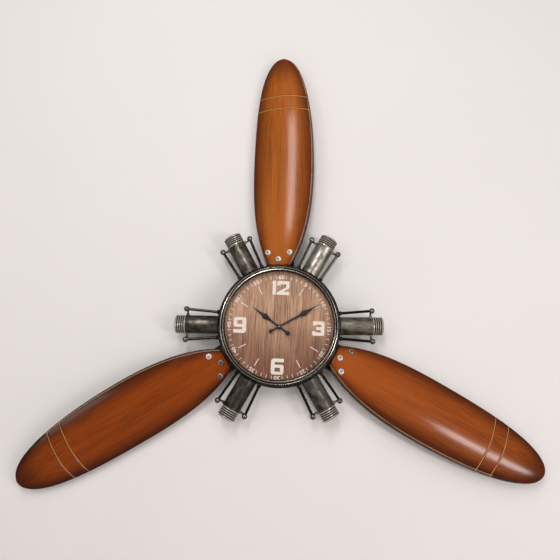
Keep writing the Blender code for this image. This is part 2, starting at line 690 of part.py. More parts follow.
def blade_shape():
    """Solid wooden blade with three bolt holes, each with a spot face."""
    stations = blade_stations(7, 12)
    work = bmesh.new()
    rings = [[work.verts.new(point) for point in blade_section(radial, half)]
             for radial, half in stations]
    size = len(rings[0])
    for lower, upper in zip(rings, rings[1:]):
        for i in range(size):
            j = (i + 1) % size
            work.faces.new((lower[i], lower[j], upper[j], upper[i]))
    work.faces.new(rings[0])
    tip_front = TIP_EDGE_THICKNESS * 0.5
    tip = work.verts.new((0, -tip_front, BLADE_TIP))
    for i in range(size):
        work.faces.new((rings[-1][i], rings[-1][(i + 1) % size], tip))
    blade = tool(finish_mesh(work, "blade"))
    for x, radial in bolt_places():
        hole = rod_mesh(BOLT_HOLE_RADIUS, (x, 0.01, radial), (x, -0.05, radial), 12)
        boolean(blade, tool(hole), "DIFFERENCE")
        floor = bolt_seat(x)
        spot = rod_mesh(BOLT_HEAD_RADIUS + 0.0006, (x, -floor, radial), (x, -0.05, radial), 16)
        boolean(blade, tool(spot), "DIFFERENCE")
    return baked(blade)


def bolt_places():
    """Two outer bolts and one nearer the hub, as (sideways, distance from the hub axis)."""
    return ((-BOLT_SPREAD, BOLT_OUTER_RADIAL), (0.0, BOLT_INNER_RADIAL), (BOLT_SPREAD, BOLT_OUTER_RADIAL))


def bolt_seat(x):
    """Height of a bolt's spot face over the blade's back: the crown is higher in the middle."""
    return EDGE_THICKNESS + (MIDDLE_SEAT_RISE if x == 0 else SIDE_SEAT_RISE)


def bolt_shape():
    """Domed bolt that reaches through the blade into its bracket; z = 0 is under the head."""
    tip = -(EDGE_THICKNESS + MIDDLE_SEAT_RISE + GAP + BRACKET_THICKNESS)
    h = BOLT_HEAD_HEIGHT
    r = BOLT_HEAD_RADIUS
    points = [(0, h), (r * 0.6, h * 0.85), (r, h * 0.25), (r, 0),
              (BOLT_SHANK_RADIUS, 0), (BOLT_SHANK_RADIUS, tip), (0, tip)]
    return turned_mesh(points, SMALL_STEPS)


def bracket_shape(pitch_frame):
    """Steel tongue behind the blade root, with a foot that follows the drum wall."""
    half = BRACKET_HALF_WIDTH
    inside_drum = DRUM_RADIUS - 0.006
    tongue = box_mesh((-half, GAP, inside_drum), (half, GAP + BRACKET_THICKNESS, BRACKET_END))
    bracket = tool(tongue, **pitch_frame)
    foot = box_mesh((-FOOT_HALF_WIDTH, -FOOT_HEIGHT, inside_drum),
                    (FOOT_HALF_WIDTH, 0.002, BLADE_ROOT - GAP))
    boolean(bracket, tool(foot, **pitch_frame), "UNION")
    for x, radial in bolt_places():
        hole = rod_mesh(BOLT_HOLE_RADIUS, (x, 0.02, radial), (x, -0.02, radial), 12)
        boolean(bracket, tool(hole, **pitch_frame), "DIFFERENCE")
    boolean(bracket, drum_cutter(), "DIFFERENCE")
    return baked(bracket)


def make_blades():
    """Three blades, each on its bracket with three bolts."""
    pitch_frame = {"location": (0, -BLADE_SEAT_DEPTH, 0), "rotation": (0, 0, -BLADE_PITCH)}
    blade = blade_shape()
    bracket = bracket_shape(pitch_frame)
    bolt = bolt_shape()
    for label, angle in zip(BLADE_NAMES, BLADE_ANGLES):
        arm = arm_guide("blade_arm_" + label, angle)
        seat = guide("blade_seat_" + label, arm, **pitch_frame)
        place("blade_" + label, blade, LACQUERED_WOOD, seat)
        place("blade_bracket_" + label, bracket, GUNMETAL, seat)
        for number, (x, radial) in enumerate(bolt_places(), start=1):
            place("blade_bolt_%s_%d" % (label, number), bolt, BRIGHT_STEEL, seat,
                  (x, -(bolt_seat(x) + GAP), radial), (math.radians(90), 0, 0))


make_drum()
make_bezel()
make_dial_stack()
make_hanger()
make_movement_case()
make_movement_cover()
make_battery()
make_stem_nut()
make_motion_work()
make_set_knob()
make_hands()
make_cylinder_arms()
make_blades()
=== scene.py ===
"""Propeller wall clock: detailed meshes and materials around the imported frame.

The wall plane is y = 0 and the clock is in front of it, towards -Y. A depth is a distance from the wall.
An arm's own frame has X clockwise, Y towards the wall and Z out from the hub axis.
"""
import math

import bmesh
import bpy
import numpy as np
from mathutils import Matrix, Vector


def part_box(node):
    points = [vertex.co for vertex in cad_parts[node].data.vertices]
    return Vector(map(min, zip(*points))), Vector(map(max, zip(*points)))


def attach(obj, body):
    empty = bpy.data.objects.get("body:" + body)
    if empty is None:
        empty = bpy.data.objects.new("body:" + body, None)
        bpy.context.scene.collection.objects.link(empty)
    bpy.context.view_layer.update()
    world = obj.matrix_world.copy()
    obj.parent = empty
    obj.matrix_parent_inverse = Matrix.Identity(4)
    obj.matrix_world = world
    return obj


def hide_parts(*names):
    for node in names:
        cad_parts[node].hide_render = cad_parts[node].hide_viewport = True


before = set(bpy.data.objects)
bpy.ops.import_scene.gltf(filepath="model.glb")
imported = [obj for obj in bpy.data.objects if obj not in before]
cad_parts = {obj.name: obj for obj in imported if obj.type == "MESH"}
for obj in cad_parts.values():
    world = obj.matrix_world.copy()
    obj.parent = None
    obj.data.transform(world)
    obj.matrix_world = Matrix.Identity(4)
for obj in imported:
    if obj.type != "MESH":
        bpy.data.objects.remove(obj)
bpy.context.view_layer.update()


def depths(node):
    """How far a node's back and front are from the wall."""
    low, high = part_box(node)
    return -float(high[1]), -float(low[1])


# ------------ measures, in metres

# FRONT turns +Z towards the viewer, and HANDS_FRONT also moves it onto the hands' axis
FRONT = Matrix.Rotation(math.radians(90), 4, "X")
HANDS_Z = float(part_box("hand_nut")[0][2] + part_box("hand_nut")[1][2]) / 2
HANDS_FRONT = Matrix.Translation((0, 0, HANDS_Z)) @ FRONT
RING_STEPS = 192
SMALL_STEPS = 48
ROD_STEPS = 32
BOSS_STEPS = 28
LINK_STEPS = 24
PIP_STEPS = 20
HEXAGON = 6
GAP = 0.0003
SHARP_ANGLE = math.radians(35)

# Rings, as (distance from the hub axis, depth)
DRUM_RADIUS = float(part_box("drum_case")[1][0])
DRUM_BACK, DRUM_FRONT = depths("drum_case")
DRUM_WALL = 0.002
DRUM_SHOULDER = 0.0045
DRUM_FILLET = 0.003
DRUM_EDGE = 0.0006
LIP_RADIUS = 0.1263
BEAD_RADII = (0.1267, 0.1217)
BEAD_HALF_WIDTH = 0.0021
BEAD_FALLOFF = 2.2
BEAD_LOWEST = 0.0640
BEZEL_PROFILE = (
    (0.1180, 0.0646), (0.1180, 0.0656), (0.1187, 0.0664), (0.1202, 0.0670), (0.1216, 0.0673),
    (0.1227, 0.0670), (0.1233, 0.0660), (0.1237, 0.0652), (0.1242, 0.0653), (0.1247, 0.0664),
    (0.1254, 0.0673), (0.1266, 0.0678), (0.1278, 0.0675), (0.1288, 0.0665), (0.1297, 0.0648),
    (0.1306, 0.0615), (0.1312, 0.0575), (0.1312, 0.0558), (0.1260, 0.0558), (0.1260, 0.0483),
    (0.1240, 0.0483), (0.1240, 0.0646))

# Dial
DIAL_BACK, DIAL_FRONT = depths("dial")
DIAL_TURN = math.radians(2.4)
DIAL_PRINT_RADIUS = 0.1236
STEM_HOLE_RADIUS = 0.0043
DRILL_REACH = 0.1
NUMERAL_RADIUS = 0.0858
DIGIT_ONE_X = -0.0145
DIGIT_TWO_X = 0.005
BATON_RADII = (0.0813, 0.0993)
BATON_WIDTH = 0.0017
TICK_RADII = (0.1058, 0.1126)
TICK_WIDTH = 0.0014
SMALL_NUMBER_SIZE = 0.0112
SMALL_NUMBER_STRETCH = 1.25
SMALL_NUMBER_RADIUS = 0.1090
SMALL_NUMBER_BOLDNESS = 0.0003
PRINT_LIFT = 0.00003
PRINT_THICKNESS = 0.00012

# Hands. A shape is (length, lozenge's (start, widest, end), half width, half stalk, tail, tail end's radius)
HOUR_HAND_ANGLE = math.radians(306.8)
HOUR_HAND_SHAPE = (0.0697, (0.0220, 0.0385, 0.0510), 0.0062, 0.0022, 0.0236, 0.0048)
HOUR_HAND_BORE = 0.0032
HOUR_HAND_COLLET = 0.0047
MINUTE_HAND_ANGLE = math.radians(61.3)
MINUTE_HAND_SHAPE = (0.1015, (0.0480, 0.0625, 0.0790), 0.0060, 0.0022, 0.0208, 0.0042)
MINUTE_HAND_BORE = 0.0020
MINUTE_HAND_COLLET = 0.0035
HAND_THICKNESS = 0.0008
HAND_BEVEL = 0.00012
HAND_HUB_RADIUS = 0.0050

# Cylinder arms
ARM_ANGLES = (0.0, 60.0, 118.3, 179.2, 240.0, 300.0)
BARREL_RADIUS = 0.020
BARREL_WALL = 0.002
BARREL_DEPTH = 0.033
BARREL_FOOT = 0.130
BARREL_END = 0.206
BARREL_EDGE = 0.0004
BARREL_STEPS = 72
HEAD_END = 0.230
HEAD_RADIUS = 0.0203
RIB_COUNT = 4
RIB_PITCH = 0.0045
RIB_HEIGHT = 0.0017
RIB_POINTS = 8
FIRST_RIB_DROP = 0.0040
SPIGOT_LENGTH = 0.010
BOSS_RADIUS = 0.0032
BOSS_REACH = 0.024
LINK_RADIUS = 0.002
LINK_RADIAL = 0.2025
ROD_RADIUS = 0.003
ROD_DEPTH = 0.037
ROD_FOOT_X = 0.028
ROD_FOOT_SINK = 0.004
ROD_BOSS_RADIUS = 0.0046
ROD_BOSS_HEIGHT = 0.0035
BALL_X = 0.0339
BALL_RADIAL = 0.206
BALL_RADIUS = 0.00615
ARM_FOOT_RADIUS = DRUM_RADIUS + 0.0004

# Blades, in a frame that lies on the blade's back
BLADE_ANGLES = {"top": 89.3, "left": 211.0, "right": 331.0}
BLADE_ROOT = 0.138
BLADE_WIDEST = 0.365
BLADE_TIP = 0.650
ROOT_HALF_WIDTH = 0.026
BLADE_HALF_WIDTH = 0.0705
BLADE_BOW = 0.006
BLADE_PITCH = math.radians(11.0)
BLADE_SEAT_DEPTH = 0.0155
EDGE_THICKNESS = 0.017
TIP_EDGE_THICKNESS = 0.009
CROWN_HEIGHT = 0.011
# From the leading corner inwards: (distance from the corner, height over the edge line, side value)
LIP_SECTION = ((0.0042, 0.0011, 0.0), (0.0030, 0.0009, 0.0), (0.0024, 0.0008, 0.0), (0.0019, 0.0002, 0.0),
               (0.0013, 0.0, 0.0), (0.0010, 0.0, 0.5), (0.0, -0.0010, 0.5), (0.0, -0.0014, 1.0))
GROOVES = (0.5110, 0.5435)
GROOVE_SECTION = ((-0.0015, 0.0), (-0.0010, 0.00035), (-0.0004, 0.0007), (0.0004, 0.0007),
                  (0.0010, 0.00035), (0.0015, 0.0))
GROOVE_DISTANCES, GROOVE_DEPTHS = zip(*GROOVE_SECTION)
GROOVE_BOW = 0.005
# The grooves' bow grows between the first two stations and fades between the last two
BOW_SPAN = (0.42, 0.50, 0.56, 0.63)
ROOT_CHAMFER = 0.0010
ROOT_CHAMFER_LENGTH = 0.0014
TRAILING_SOFTNESS = 0.007
TRAILING_CROWN = 0.36
# Bolt places as (x, distance from the hub axis, height of the seat)
BOLT_PLACES = ((-0.0249, 0.1665, 0.0192), (0.0, 0.1507, 0.0212), (0.0249, 0.1665, 0.0192))
BOLT_HEAD_RADIUS = 0.0065
BOLT_HEAD_HEIGHT = 0.0034
BOLT_HOLE_RADIUS = 0.0033
BOLT_SHANK_RADIUS = 0.003
BOLT_TIP = -0.0245
BOLT_RECESS_RADIUS = 0.0024
BOLT_RECESS_DEPTH = 0.0018
# Bolts that take a darker copy of the bolt steel, as painted shade
SHADED_BOLTS = ("left_1", "left_2", "right_1")
SPOT_RADIUS = BOLT_HEAD_RADIUS + 0.0006


# ------------ material shorthand

def srgb(red, green, blue):
    """Scene-linear colour of a display colour given in 0 to 255."""
    channels = (red / 255, green / 255, blue / 255)
    return tuple(c / 12.92 if c <= 0.04045 else ((c + 0.055) / 1.055) ** 2.4 for c in channels)


def scaled(colour, factor):
    """A colour made darker or lighter."""
    return [channel * factor for channel in colour]


# The Mix node's colour sockets, and the range that most of a noise's values lie in
MIX_FIRST = 6
MIX_SECOND = 7
MIX_RESULT = 2
NOISE_LOW = 0.3
NOISE_HIGH = 0.7


class Finish:
    """A node material under construction, built around one Principled shader.

    A made piece's place attribute holds its own frame's coordinates. A carried CAD node has none, so its
    material uses object coordinates.
    """

    def __init__(self, name, metallic=0.0, carried=False, **sockets):
        self.material = bpy.data.materials.new(name)
        self.material.use_nodes = True
        self.tree = self.material.node_tree
        self.tree.nodes.clear()
        self.shader = self.node("BsdfPrincipled")
        output = self.node("OutputMaterial")
        self.tree.links.new(self.shader.outputs["BSDF"], output.inputs["Surface"])
        if carried:
            self.place = self.node("TexCoord").outputs["Object"]
        else:
            source = self.node("Attribute")
            source.attribute_name = "place"
            self.place = source.outputs["Vector"]
        self.shader.inputs["Metallic"].default_value = metallic
        for socket, value in sockets.items():
            self.shader.inputs[socket.replace("_", " ")].default_value = value

    def node(self, kind):
        """A new shader node."""
        return self.tree.nodes.new("ShaderNode" + kind)

    def feed(self, node, socket, value):
        """Links an output to a socket, or sets the socket to a constant."""
        if isinstance(value, bpy.types.NodeSocket):
            self.tree.links.new(value, node.inputs[socket])
        else:
            node.inputs[socket].default_value = value

    def noise(self, size, stretch=(1, 1, 1), detail=3.0, roughness=0.5, distortion=0.0, shift=0.0):
        """Noise whose features are about size metres across, and longer where stretch is over 1."""
        mapping = self.node("Mapping")
        mapping.inputs["Scale"].default_value = [1 / (size * s) for s in stretch]
        mapping.inputs["Location"].default_value = (shift, shift * 2, shift * 3)
        self.tree.links.new(self.place, mapping.inputs["Vector"])
        node = self.node("TexNoise")
        node.inputs["Scale"].default_value = 1.0
        node.inputs["Detail"].default_value = detail
        node.inputs["Roughness"].default_value = roughness
        node.inputs["Distortion"].default_value = distortion
        self.tree.links.new(mapping.outputs["Vector"], node.inputs["Vector"])
        return node.outputs["Fac"]

    def coordinate(self, axis):
        """One coordinate of the piece's own frame."""
        node = self.node("SeparateXYZ")
        self.tree.links.new(self.place, node.inputs["Vector"])
        return node.outputs[axis]

    def attribute(self, name):
        """A number stored on the mesh's points."""
        node = self.node("Attribute")
        node.attribute_name = name
        return node.outputs["Fac"]

    def maths(self, operation, first, second=0.0):
        """One operation on two numbers."""
        node = self.node("Math")
        node.operation = operation
        self.feed(node, 0, first)
        self.feed(node, 1, second)
        return node.outputs["Value"]

    def times(self, first, *others):
        """The product of several numbers."""
        for other in others:
            first = self.maths("MULTIPLY", first, other)
        return first

    def weighted(self, *terms):
        """The sum of (number, weight) terms."""
        total = 0.0
        for value, weight in terms:
            total = self.maths("ADD", total, self.times(value, weight))
        return total

    def uneven(self, value, noise, amount):
        """A number that a noise shifts up and down."""
        return self.maths("ADD", value, self.times(self.maths("SUBTRACT", noise, 0.5), amount))

    def remap(self, value, low, high, new_low=0.0, new_high=1.0):
        """A smooth step from new_low at low to new_high at high."""
        node = self.node("MapRange")
        node.interpolation_type = "SMOOTHSTEP"
        self.feed(node, "Value", value)
        limits = {"From Min": low, "From Max": high, "To Min": new_low, "To Max": new_high}
        for socket, number in limits.items():
            node.inputs[socket].default_value = number
        return node.outputs["Result"]

    def band(self, value, start, full, fade, end):
        """1 from full to fade, and down to 0 at start and at end."""
        return self.times(self.remap(value, start, full), self.remap(value, fade, end, 1.0, 0.0))

    def ramp(self, value, *stops):
        """Colour by value, from (position, colour) stops."""
        node = self.node("ValToRGB")
        elements = node.color_ramp.elements
        while len(elements) < len(stops):
            elements.new(0.5)
        for element, (position, colour) in zip(elements, stops):
            element.position = position
            element.color = (*colour, 1.0)
        self.tree.links.new(value, node.inputs["Fac"])
        return node.outputs["Color"]

    def mix(self, factor, first, second, blend="MIX"):
        """Two colours mixed by a factor."""
        node = self.node("Mix")
        node.data_type = "RGBA"
        node.blend_type = blend
        self.feed(node, "Factor", factor)
        for socket, value in ((MIX_FIRST, first), (MIX_SECOND, second)):
            self.feed(node, socket, value if isinstance(value, bpy.types.NodeSocket) else (*value, 1.0))
        return node.outputs[MIX_RESULT]

    def bump(self, height, depth, strength=1.0):
        """Relief of the given depth in metres."""
        node = self.node("Bump")
        node.inputs["Strength"].default_value = strength
        node.inputs["Distance"].default_value = depth
        self.tree.links.new(height, node.inputs["Height"])
        self.tree.links.new(node.outputs["Normal"], self.shader.inputs["Normal"])

    def done(self, colour, tone, rough_low, rough_high):
        """Sets the colour, and the roughness by a noise value, and gives the material."""
        self.tree.links.new(colour, self.shader.inputs["Base Color"])
        rough = self.remap(tone, NOISE_LOW, NOISE_HIGH, rough_low, rough_high)
        self.tree.links.new(rough, self.shader.inputs["Roughness"])
        return self.material


# ------------ materials

def streaked_metal(name, dark, light, rough, balance, shift=0.0, metallic=0.92, carried=False):
    """Old dark metal with lengthwise patches where the finish has worn to silver."""
    f = Finish(name, metallic, carried)
    streaks = f.noise(0.0080, (1, 1, 3), detail=4.0, roughness=0.6, distortion=0.3, shift=shift)
    patches = f.noise(0.016, (1, 1, 1.6), roughness=0.6, shift=shift + 4)
    both = f.weighted((streaks, 0.35), (patches, 0.65))
    f.bump(f.noise(0.0006, (1, 1, 6), detail=2.0, roughness=0.6), 0.00003)
    worn = f.remap(both, balance - 0.18, balance + 0.16)
    return f.done(f.mix(worn, dark, light), both, rough + 0.10, rough - 0.06)


def edge_worn_metal(name, dark, light, rough, size=0.006, metallic=0.95):
    """Dark metal that is polished where the mesh's wear value is high."""
    f = Finish(name, metallic)
    patches = f.noise(size, detail=4.0, roughness=0.6)
    fine = f.noise(0.0012, detail=2.0, roughness=0.6)
    polished = f.remap(f.uneven(f.attribute("wear"), patches, 0.9), 0.25, 0.85)
    f.bump(fine, 0.00004)
    return f.done(f.mix(polished, dark, light), fine, rough - 0.05, rough + 0.08)


def plain_metal(name, dark, light, rough, size=0.003, metallic=0.6):
    """Metal with a fine mottled finish, on a CAD node."""
    f = Finish(name, metallic, True)
    mottle = f.noise(size, detail=4.0, roughness=0.6)
    f.bump(f.noise(size * 0.2, detail=2.0), 0.00002)
    return f.done(f.ramp(mottle, (0.3, dark), (0.7, light)), mottle, rough + 0.07, rough - 0.04)


def moulded(name, dark, light, rough, grain=0.0007, relief=0.00003, carried=True):
    """Plastic or paint with a fine grain."""
    f = Finish(name, 0.0, carried)
    f.bump(f.noise(grain, detail=2.0), relief)
    tone = f.noise(0.012)
    return f.done(f.ramp(tone, (0.35, dark), (0.65, light)), tone, rough - 0.05, rough + 0.05)


def lacquered_wood(name, warm, shade, lip_gilt_and_glint, line_end, shift):
    """Stained and lacquered wood: a lighter root that is painted light, burnt edges deepened with painted
    shade, gilt lines in the grooves with painted shadows beside them, and a line beside one edge that is
    worn gilt with a painted highlight.
    """
    f = Finish(name, Coat_Weight=0.6, Coat_Roughness=0.16, Coat_IOR=1.5, Specular_IOR_Level=0.0)
    reach = f.maths("ABSOLUTE", f.attribute("across"))
    along = f.attribute("along")
    side = f.attribute("side")
    inset = f.attribute("inset")
    fibres = f.noise(0.0017, (1, 1, 70), detail=4.0, roughness=0.65, shift=shift)
    bands = f.noise(0.014, (1, 1, 16), detail=2.0, distortion=0.6, shift=shift + 2)
    broad = f.noise(0.060, (1, 1, 4), detail=2.0, shift=shift + 5)
    grain = f.weighted((fibres, 0.5), (bands, 0.25), (broad, 0.25))
    wood = f.ramp(grain, (0.40, scaled(warm, 0.62)), (0.5, warm), (0.61, scaled(warm, 1.28)))

    # A lighter root, which is painted light; burnt edges, deepened with painted shade; a darker tip; a
    # painted shadow between the lip and the leading corner; and dark flanks and back
    wood = f.mix(f.remap(along, 0.15, 0.42, 0.45, 0.0), wood, scaled(warm, 1.45))
    wood = f.mix(f.remap(f.uneven(reach, bands, 0.35), 0.40, 1.10), wood, shade)
    wood = f.mix(f.remap(along, BLADE_TIP - 0.090, BLADE_TIP, 0.0, 0.8), wood, shade)
    wood = f.mix(f.remap(inset, 0.0016, 0.0021, 1.0, 0.0), wood, scaled(shade, 0.5))
    wood = f.mix(f.remap(side, 0.75, 0.95), wood, scaled(shade, 0.6))

    # A painted shadow on the tip side of each groove, and a gilt line beside it
    gilt = 0.0
    for groove in GROOVES:
        offset = f.maths("SUBTRACT", along, groove)
        groove_shadow = f.band(offset, 0.0, 0.0003, 0.0008, 0.0014)
        wood = f.mix(f.times(groove_shadow, 0.85), wood, srgb(38, 14, 6))
        gilt = f.maths("MAXIMUM", gilt, f.band(offset, -0.0016, -0.0011, -0.0002, 0.0001))
    front_only = f.remap(side, 0.6, 0.8, 1.0, 0.0)
    colour = f.mix(f.times(gilt, front_only, 0.9), wood, srgb(232, 182, 110))

    # The lip line, uneven along its length: worn gilt with a painted highlight on the left and right blades,
    # a painted reflection on the top blade's rounded lip, and a faint painted highlight on the rounded
    # corner itself
    lip = f.band(inset, 0.0022, 0.0024, 0.0029, 0.0032)
    corner = f.times(f.remap(side, 0.2, 0.4), front_only, 0.22)
    patchy_strength = f.remap(f.noise(0.010, (1, 1, 3), roughness=0.6, shift=shift), 0.30, 0.5, 0.4, 0.9)
    length = f.remap(along, line_end, line_end + 0.004, 1.0, 0.0)
    colour = f.mix(f.times(f.maths("MAXIMUM", lip, corner), patchy_strength, length), colour, lip_gilt_and_glint)
    f.bump(f.weighted((fibres, 0.35), (bands, 0.65)), 0.00012, 0.5)
    return f.done(colour, grain, 0.42, 0.30)


def printed_wood(name):
    """Board printed with vertical wood grain, redder towards the bottom, and bare fibreboard behind."""
    f = Finish(name)
    fibres = f.noise(0.0011, (1, 60, 1), detail=4.0, roughness=0.75, distortion=0.1)
    bands = f.noise(0.0050, (1, 16, 1), roughness=0.55, distortion=1.0, shift=3.0)
    blots = f.noise(0.05, (1, 1.6, 1), detail=2.0, shift=7.0)
    tone = f.weighted((fibres, 0.7), (bands, 0.3))
    wood = f.ramp(tone, (0.38, srgb(106, 70, 50)), (0.48, srgb(186, 140, 110)), (0.60, srgb(222, 180, 148)))
    lower = f.maths("SUBTRACT", f.times(blots, 0.16), f.coordinate("Y"))
    wood = f.mix(f.remap(lower, 0.02, 0.19, 0.0, 0.75), wood, srgb(148, 92, 70), "MULTIPLY")
    bare = f.ramp(blots, (0.4, srgb(128, 100, 70)), (0.6, srgb(146, 116, 84)))
    printed = f.remap(f.coordinate("Z"), DIAL_BACK + 0.0002, DIAL_BACK + 0.0004)
    return f.done(f.mix(printed, bare, wood), tone, 0.62, 0.5)


def printed_ink(name):
    """Cream ink, a little thin in places."""
    f = Finish(name)
    tone = f.noise(0.003, detail=4.0, roughness=0.65)
    return f.done(f.ramp(tone, (0.3, srgb(242, 226, 212)), (0.55, srgb(254, 242, 230))), tone, 0.6, 0.5)


def thin_glass(name):
    """Clear glass, nearly invisible, with the faintest uneven polish."""
    f = Finish(name, 0.0, True, Alpha=0.03, IOR=1.45)
    smear = f.noise(0.03)
    return f.done(f.ramp(smear, (0.3, (0.06, 0.08, 0.08)), (0.7, (0.10, 0.12, 0.12))), smear, 0.01, 0.04)


GUNMETAL = streaked_metal("old_gunmetal", srgb(46, 44, 42), srgb(118, 114, 108), 0.40, 0.60)
BRACKET_METAL = streaked_metal("bracket_gunmetal", srgb(50, 47, 44), srgb(104, 98, 92), 0.42, 0.60,
                               metallic=0.4, carried=True)
BEZEL_METAL = edge_worn_metal("bezel_gunmetal", srgb(58, 50, 43), srgb(200, 190, 176), 0.20)
HEAD_METAL = edge_worn_metal("head_steel", srgb(58, 53, 47), srgb(222, 212, 198), 0.22, 0.005, 0.6)
ROD_METAL = edge_worn_metal("rod_steel", srgb(60, 54, 49), srgb(186, 176, 164), 0.15, 0.008)
BOLT_METAL = edge_worn_metal("bolt_steel", srgb(110, 98, 90), srgb(252, 240, 230), 0.30, 0.003, 0.3)
# A darker copy of the bolt steel, which is painted shade on some bolts
SHADED_BOLT_METAL = edge_worn_metal("shaded_bolt_steel", srgb(70, 62, 56), srgb(166, 156, 148), 0.26, 0.003, 0.7)
NUT_METAL = plain_metal("nut_steel", srgb(52, 50, 48), srgb(84, 80, 76), 0.36)
PLATED = plain_metal("plated_sheet", srgb(144, 143, 139), srgb(190, 188, 182), 0.36, 0.004, 0.45)
SCREW_METAL = plain_metal("screw_steel", srgb(170, 168, 164), srgb(214, 212, 206), 0.26)
BRASS = plain_metal("turned_brass", srgb(176, 134, 66), srgb(214, 176, 102), 0.28, 0.002)
SPACER = plain_metal("spacer_metal", srgb(62, 58, 55), srgb(96, 90, 84), 0.34, 0.003)
HAND_PAINT = moulded("hand_paint", srgb(14, 12, 11), srgb(28, 25, 23), 0.45, 0.0004, 0.00001, False)
CASE_PLASTIC = moulded("movement_plastic", srgb(24, 24, 25), srgb(38, 38, 39), 0.48)
NYLON = moulded("gear_nylon", srgb(206, 203, 194), srgb(226, 223, 214), 0.42, 0.0005, 0.00001)
WRAP = moulded("cell_wrap_film", srgb(38, 70, 96), srgb(54, 92, 122), 0.30, 0.003, 0.00002)
DIAL_WOOD = printed_wood("dial_wood_print")
DIAL_INK = printed_ink("dial_ink")
GLASS = thin_glass("clear_lens")


# ------------ mesh shorthand

def linked(name, data):
    """A new object in the scene."""
    made = bpy.data.objects.new(name, data)
    bpy.context.scene.collection.objects.link(made)
    return made


def evaluated(holder):
    """An object's mesh as its modifiers or its curve settings make it."""
    bpy.context.view_layer.update()
    return bpy.data.meshes.new_from_object(holder.evaluated_get(bpy.context.evaluated_depsgraph_get()))


def finished(work, name):
    """Turns a bmesh into a mesh that is smooth but for its sharp edges."""
    bmesh.ops.recalc_face_normals(work, faces=work.faces)
    mesh = bpy.data.meshes.new(name)
    work.to_mesh(mesh)
    work.free()
    mesh.shade_smooth()
    mesh.set_sharp_from_angle(angle=SHARP_ANGLE)
    return mesh


def lathe(profile, steps, closed=True, wear=None, bend=None):
    """Turns (radius, height) points about Z. wear gives a point's polish, and bend moves a point."""
    work = bmesh.new()
    layer = work.verts.layers.float.new("wear")
    rings = []
    for radius, height in profile:
        count = steps if radius > 0 else 1
        ring = []
        for i in range(count):
            turn = math.tau * i / count
            point = (radius * math.cos(turn), radius * math.sin(turn), height)
            vertex = work.verts.new(bend(point) if bend else point)
            vertex[layer] = wear(radius, height) if wear else 0.0
            ring.append(vertex)
        rings.append(ring)
    pairs = list(zip(rings, rings[1:]))
    if closed:
        pairs.append((rings[-1], rings[0]))
    for lower, upper in pairs:
        for i in range(steps):
            j = (i + 1) % steps
            corners = [lower[i % len(lower)], lower[j % len(lower)],
                       upper[j % len(upper)], upper[i % len(upper)]]
            corners = list(dict.fromkeys(corners))
            if len(corners) > 2:
                work.faces.new(corners)
    return finished(work, "turned")


def cylinder(radius, start, end, steps):
    """A plain solid cylinder along Z."""
    return lathe([(0.0, start), (radius, start), (radius, end), (0.0, end)], steps, closed=False)


def rounded(points, steps=5):
    """A closed outline whose (x, y, radius) corners are rounded; a corner without a radius stays sharp."""
    outline = []
    for i, corner in enumerate(points):
        x, y = corner[:2]
        if len(corner) < 3:
            outline.append((x, y))
            continue
        ends = []
        for neighbour in (points[i - 1], points[(i + 1) % len(points)]):
            dx = neighbour[0] - x
            dy = neighbour[1] - y
            length = math.hypot(dx, dy)
            cut = min(corner[2], length * 0.49)
            ends.append((x + dx / length * cut, y + dy / length * cut))
        for step in range(steps + 1):
            t = step / steps
            weights = ((1 - t) ** 2, 2 * t * (1 - t), t * t)
            outline.append(tuple(weights[0] * ends[0][k] + weights[1] * (x, y)[k] + weights[2] * ends[1][k]
                                 for k in range(2)))
    return outline


def curve_mesh(curve, thickness, bevel, boldness=0.0):
    """Mesh of a filled flat curve that stands from z = 0 to its thickness."""
    curve.extrude = thickness / 2 - bevel
    curve.bevel_depth = bevel
    curve.offset = boldness - bevel
    curve.bevel_resolution = 1
    holder = linked("outline", curve)
    mesh = evaluated(holder)
    bpy.data.objects.remove(holder)
    bpy.data.curves.remove(curve)
    work = bmesh.new()
    work.from_mesh(mesh)
    bpy.data.meshes.remove(mesh)
    bmesh.ops.remove_doubles(work, verts=work.verts, dist=1e-6)
    bmesh.ops.translate(work, verts=work.verts, vec=(0, 0, thickness / 2))
    return work


def extruded(loops, thickness, bevel=0.0):
    """Flat closed outlines, the inner ones as holes, raised to a thickness."""
    curve = bpy.data.curves.new("outline", "CURVE")
    curve.dimensions = "2D"
    curve.fill_mode = "BOTH"
    for loop in loops:
        spline = curve.splines.new("POLY")
        spline.points.add(len(loop) - 1)
        for point, (x, y) in zip(spline.points, loop):
            point.co = (x, y, 0.0, 1.0)
        spline.use_cyclic_u = True
    return curve_mesh(curve, thickness, bevel)


def lettered(words, size, thickness):
    """Raised digits, centred on the origin."""
    curve = bpy.data.curves.new("digits", "FONT")
    curve.body = words
    curve.size = size
    curve.align_x = "CENTER"
    curve.align_y = "CENTER"
    curve.resolution_u = 3
    return curve_mesh(curve, thickness, 0.0, SMALL_NUMBER_BOLDNESS)


def gather(target, work, matrix):
    """Adds a placed bmesh to another."""
    bmesh.ops.transform(work, matrix=matrix, verts=work.verts)
    mesh = bpy.data.meshes.new("part")
    work.to_mesh(mesh)
    work.free()
    target.from_mesh(mesh)
    bpy.data.meshes.remove(mesh)


def combined(mesh, tools, operation):
    """A mesh after exact booleans with other meshes."""
    holder = linked("base", mesh)
    helpers = []
    for other in tools:
        helper = linked("tool", other)
        helpers.append(helper)
        modifier = holder.modifiers.new("cut", "BOOLEAN")
        modifier.operation = operation
        modifier.solver = "EXACT"
        modifier.object = helper
    result = evaluated(holder)
    for helper in [holder, *helpers]:
        bpy.data.objects.remove(helper)
    result.shade_smooth()
    result.set_sharp_from_angle(angle=SHARP_ANGLE)
    return result


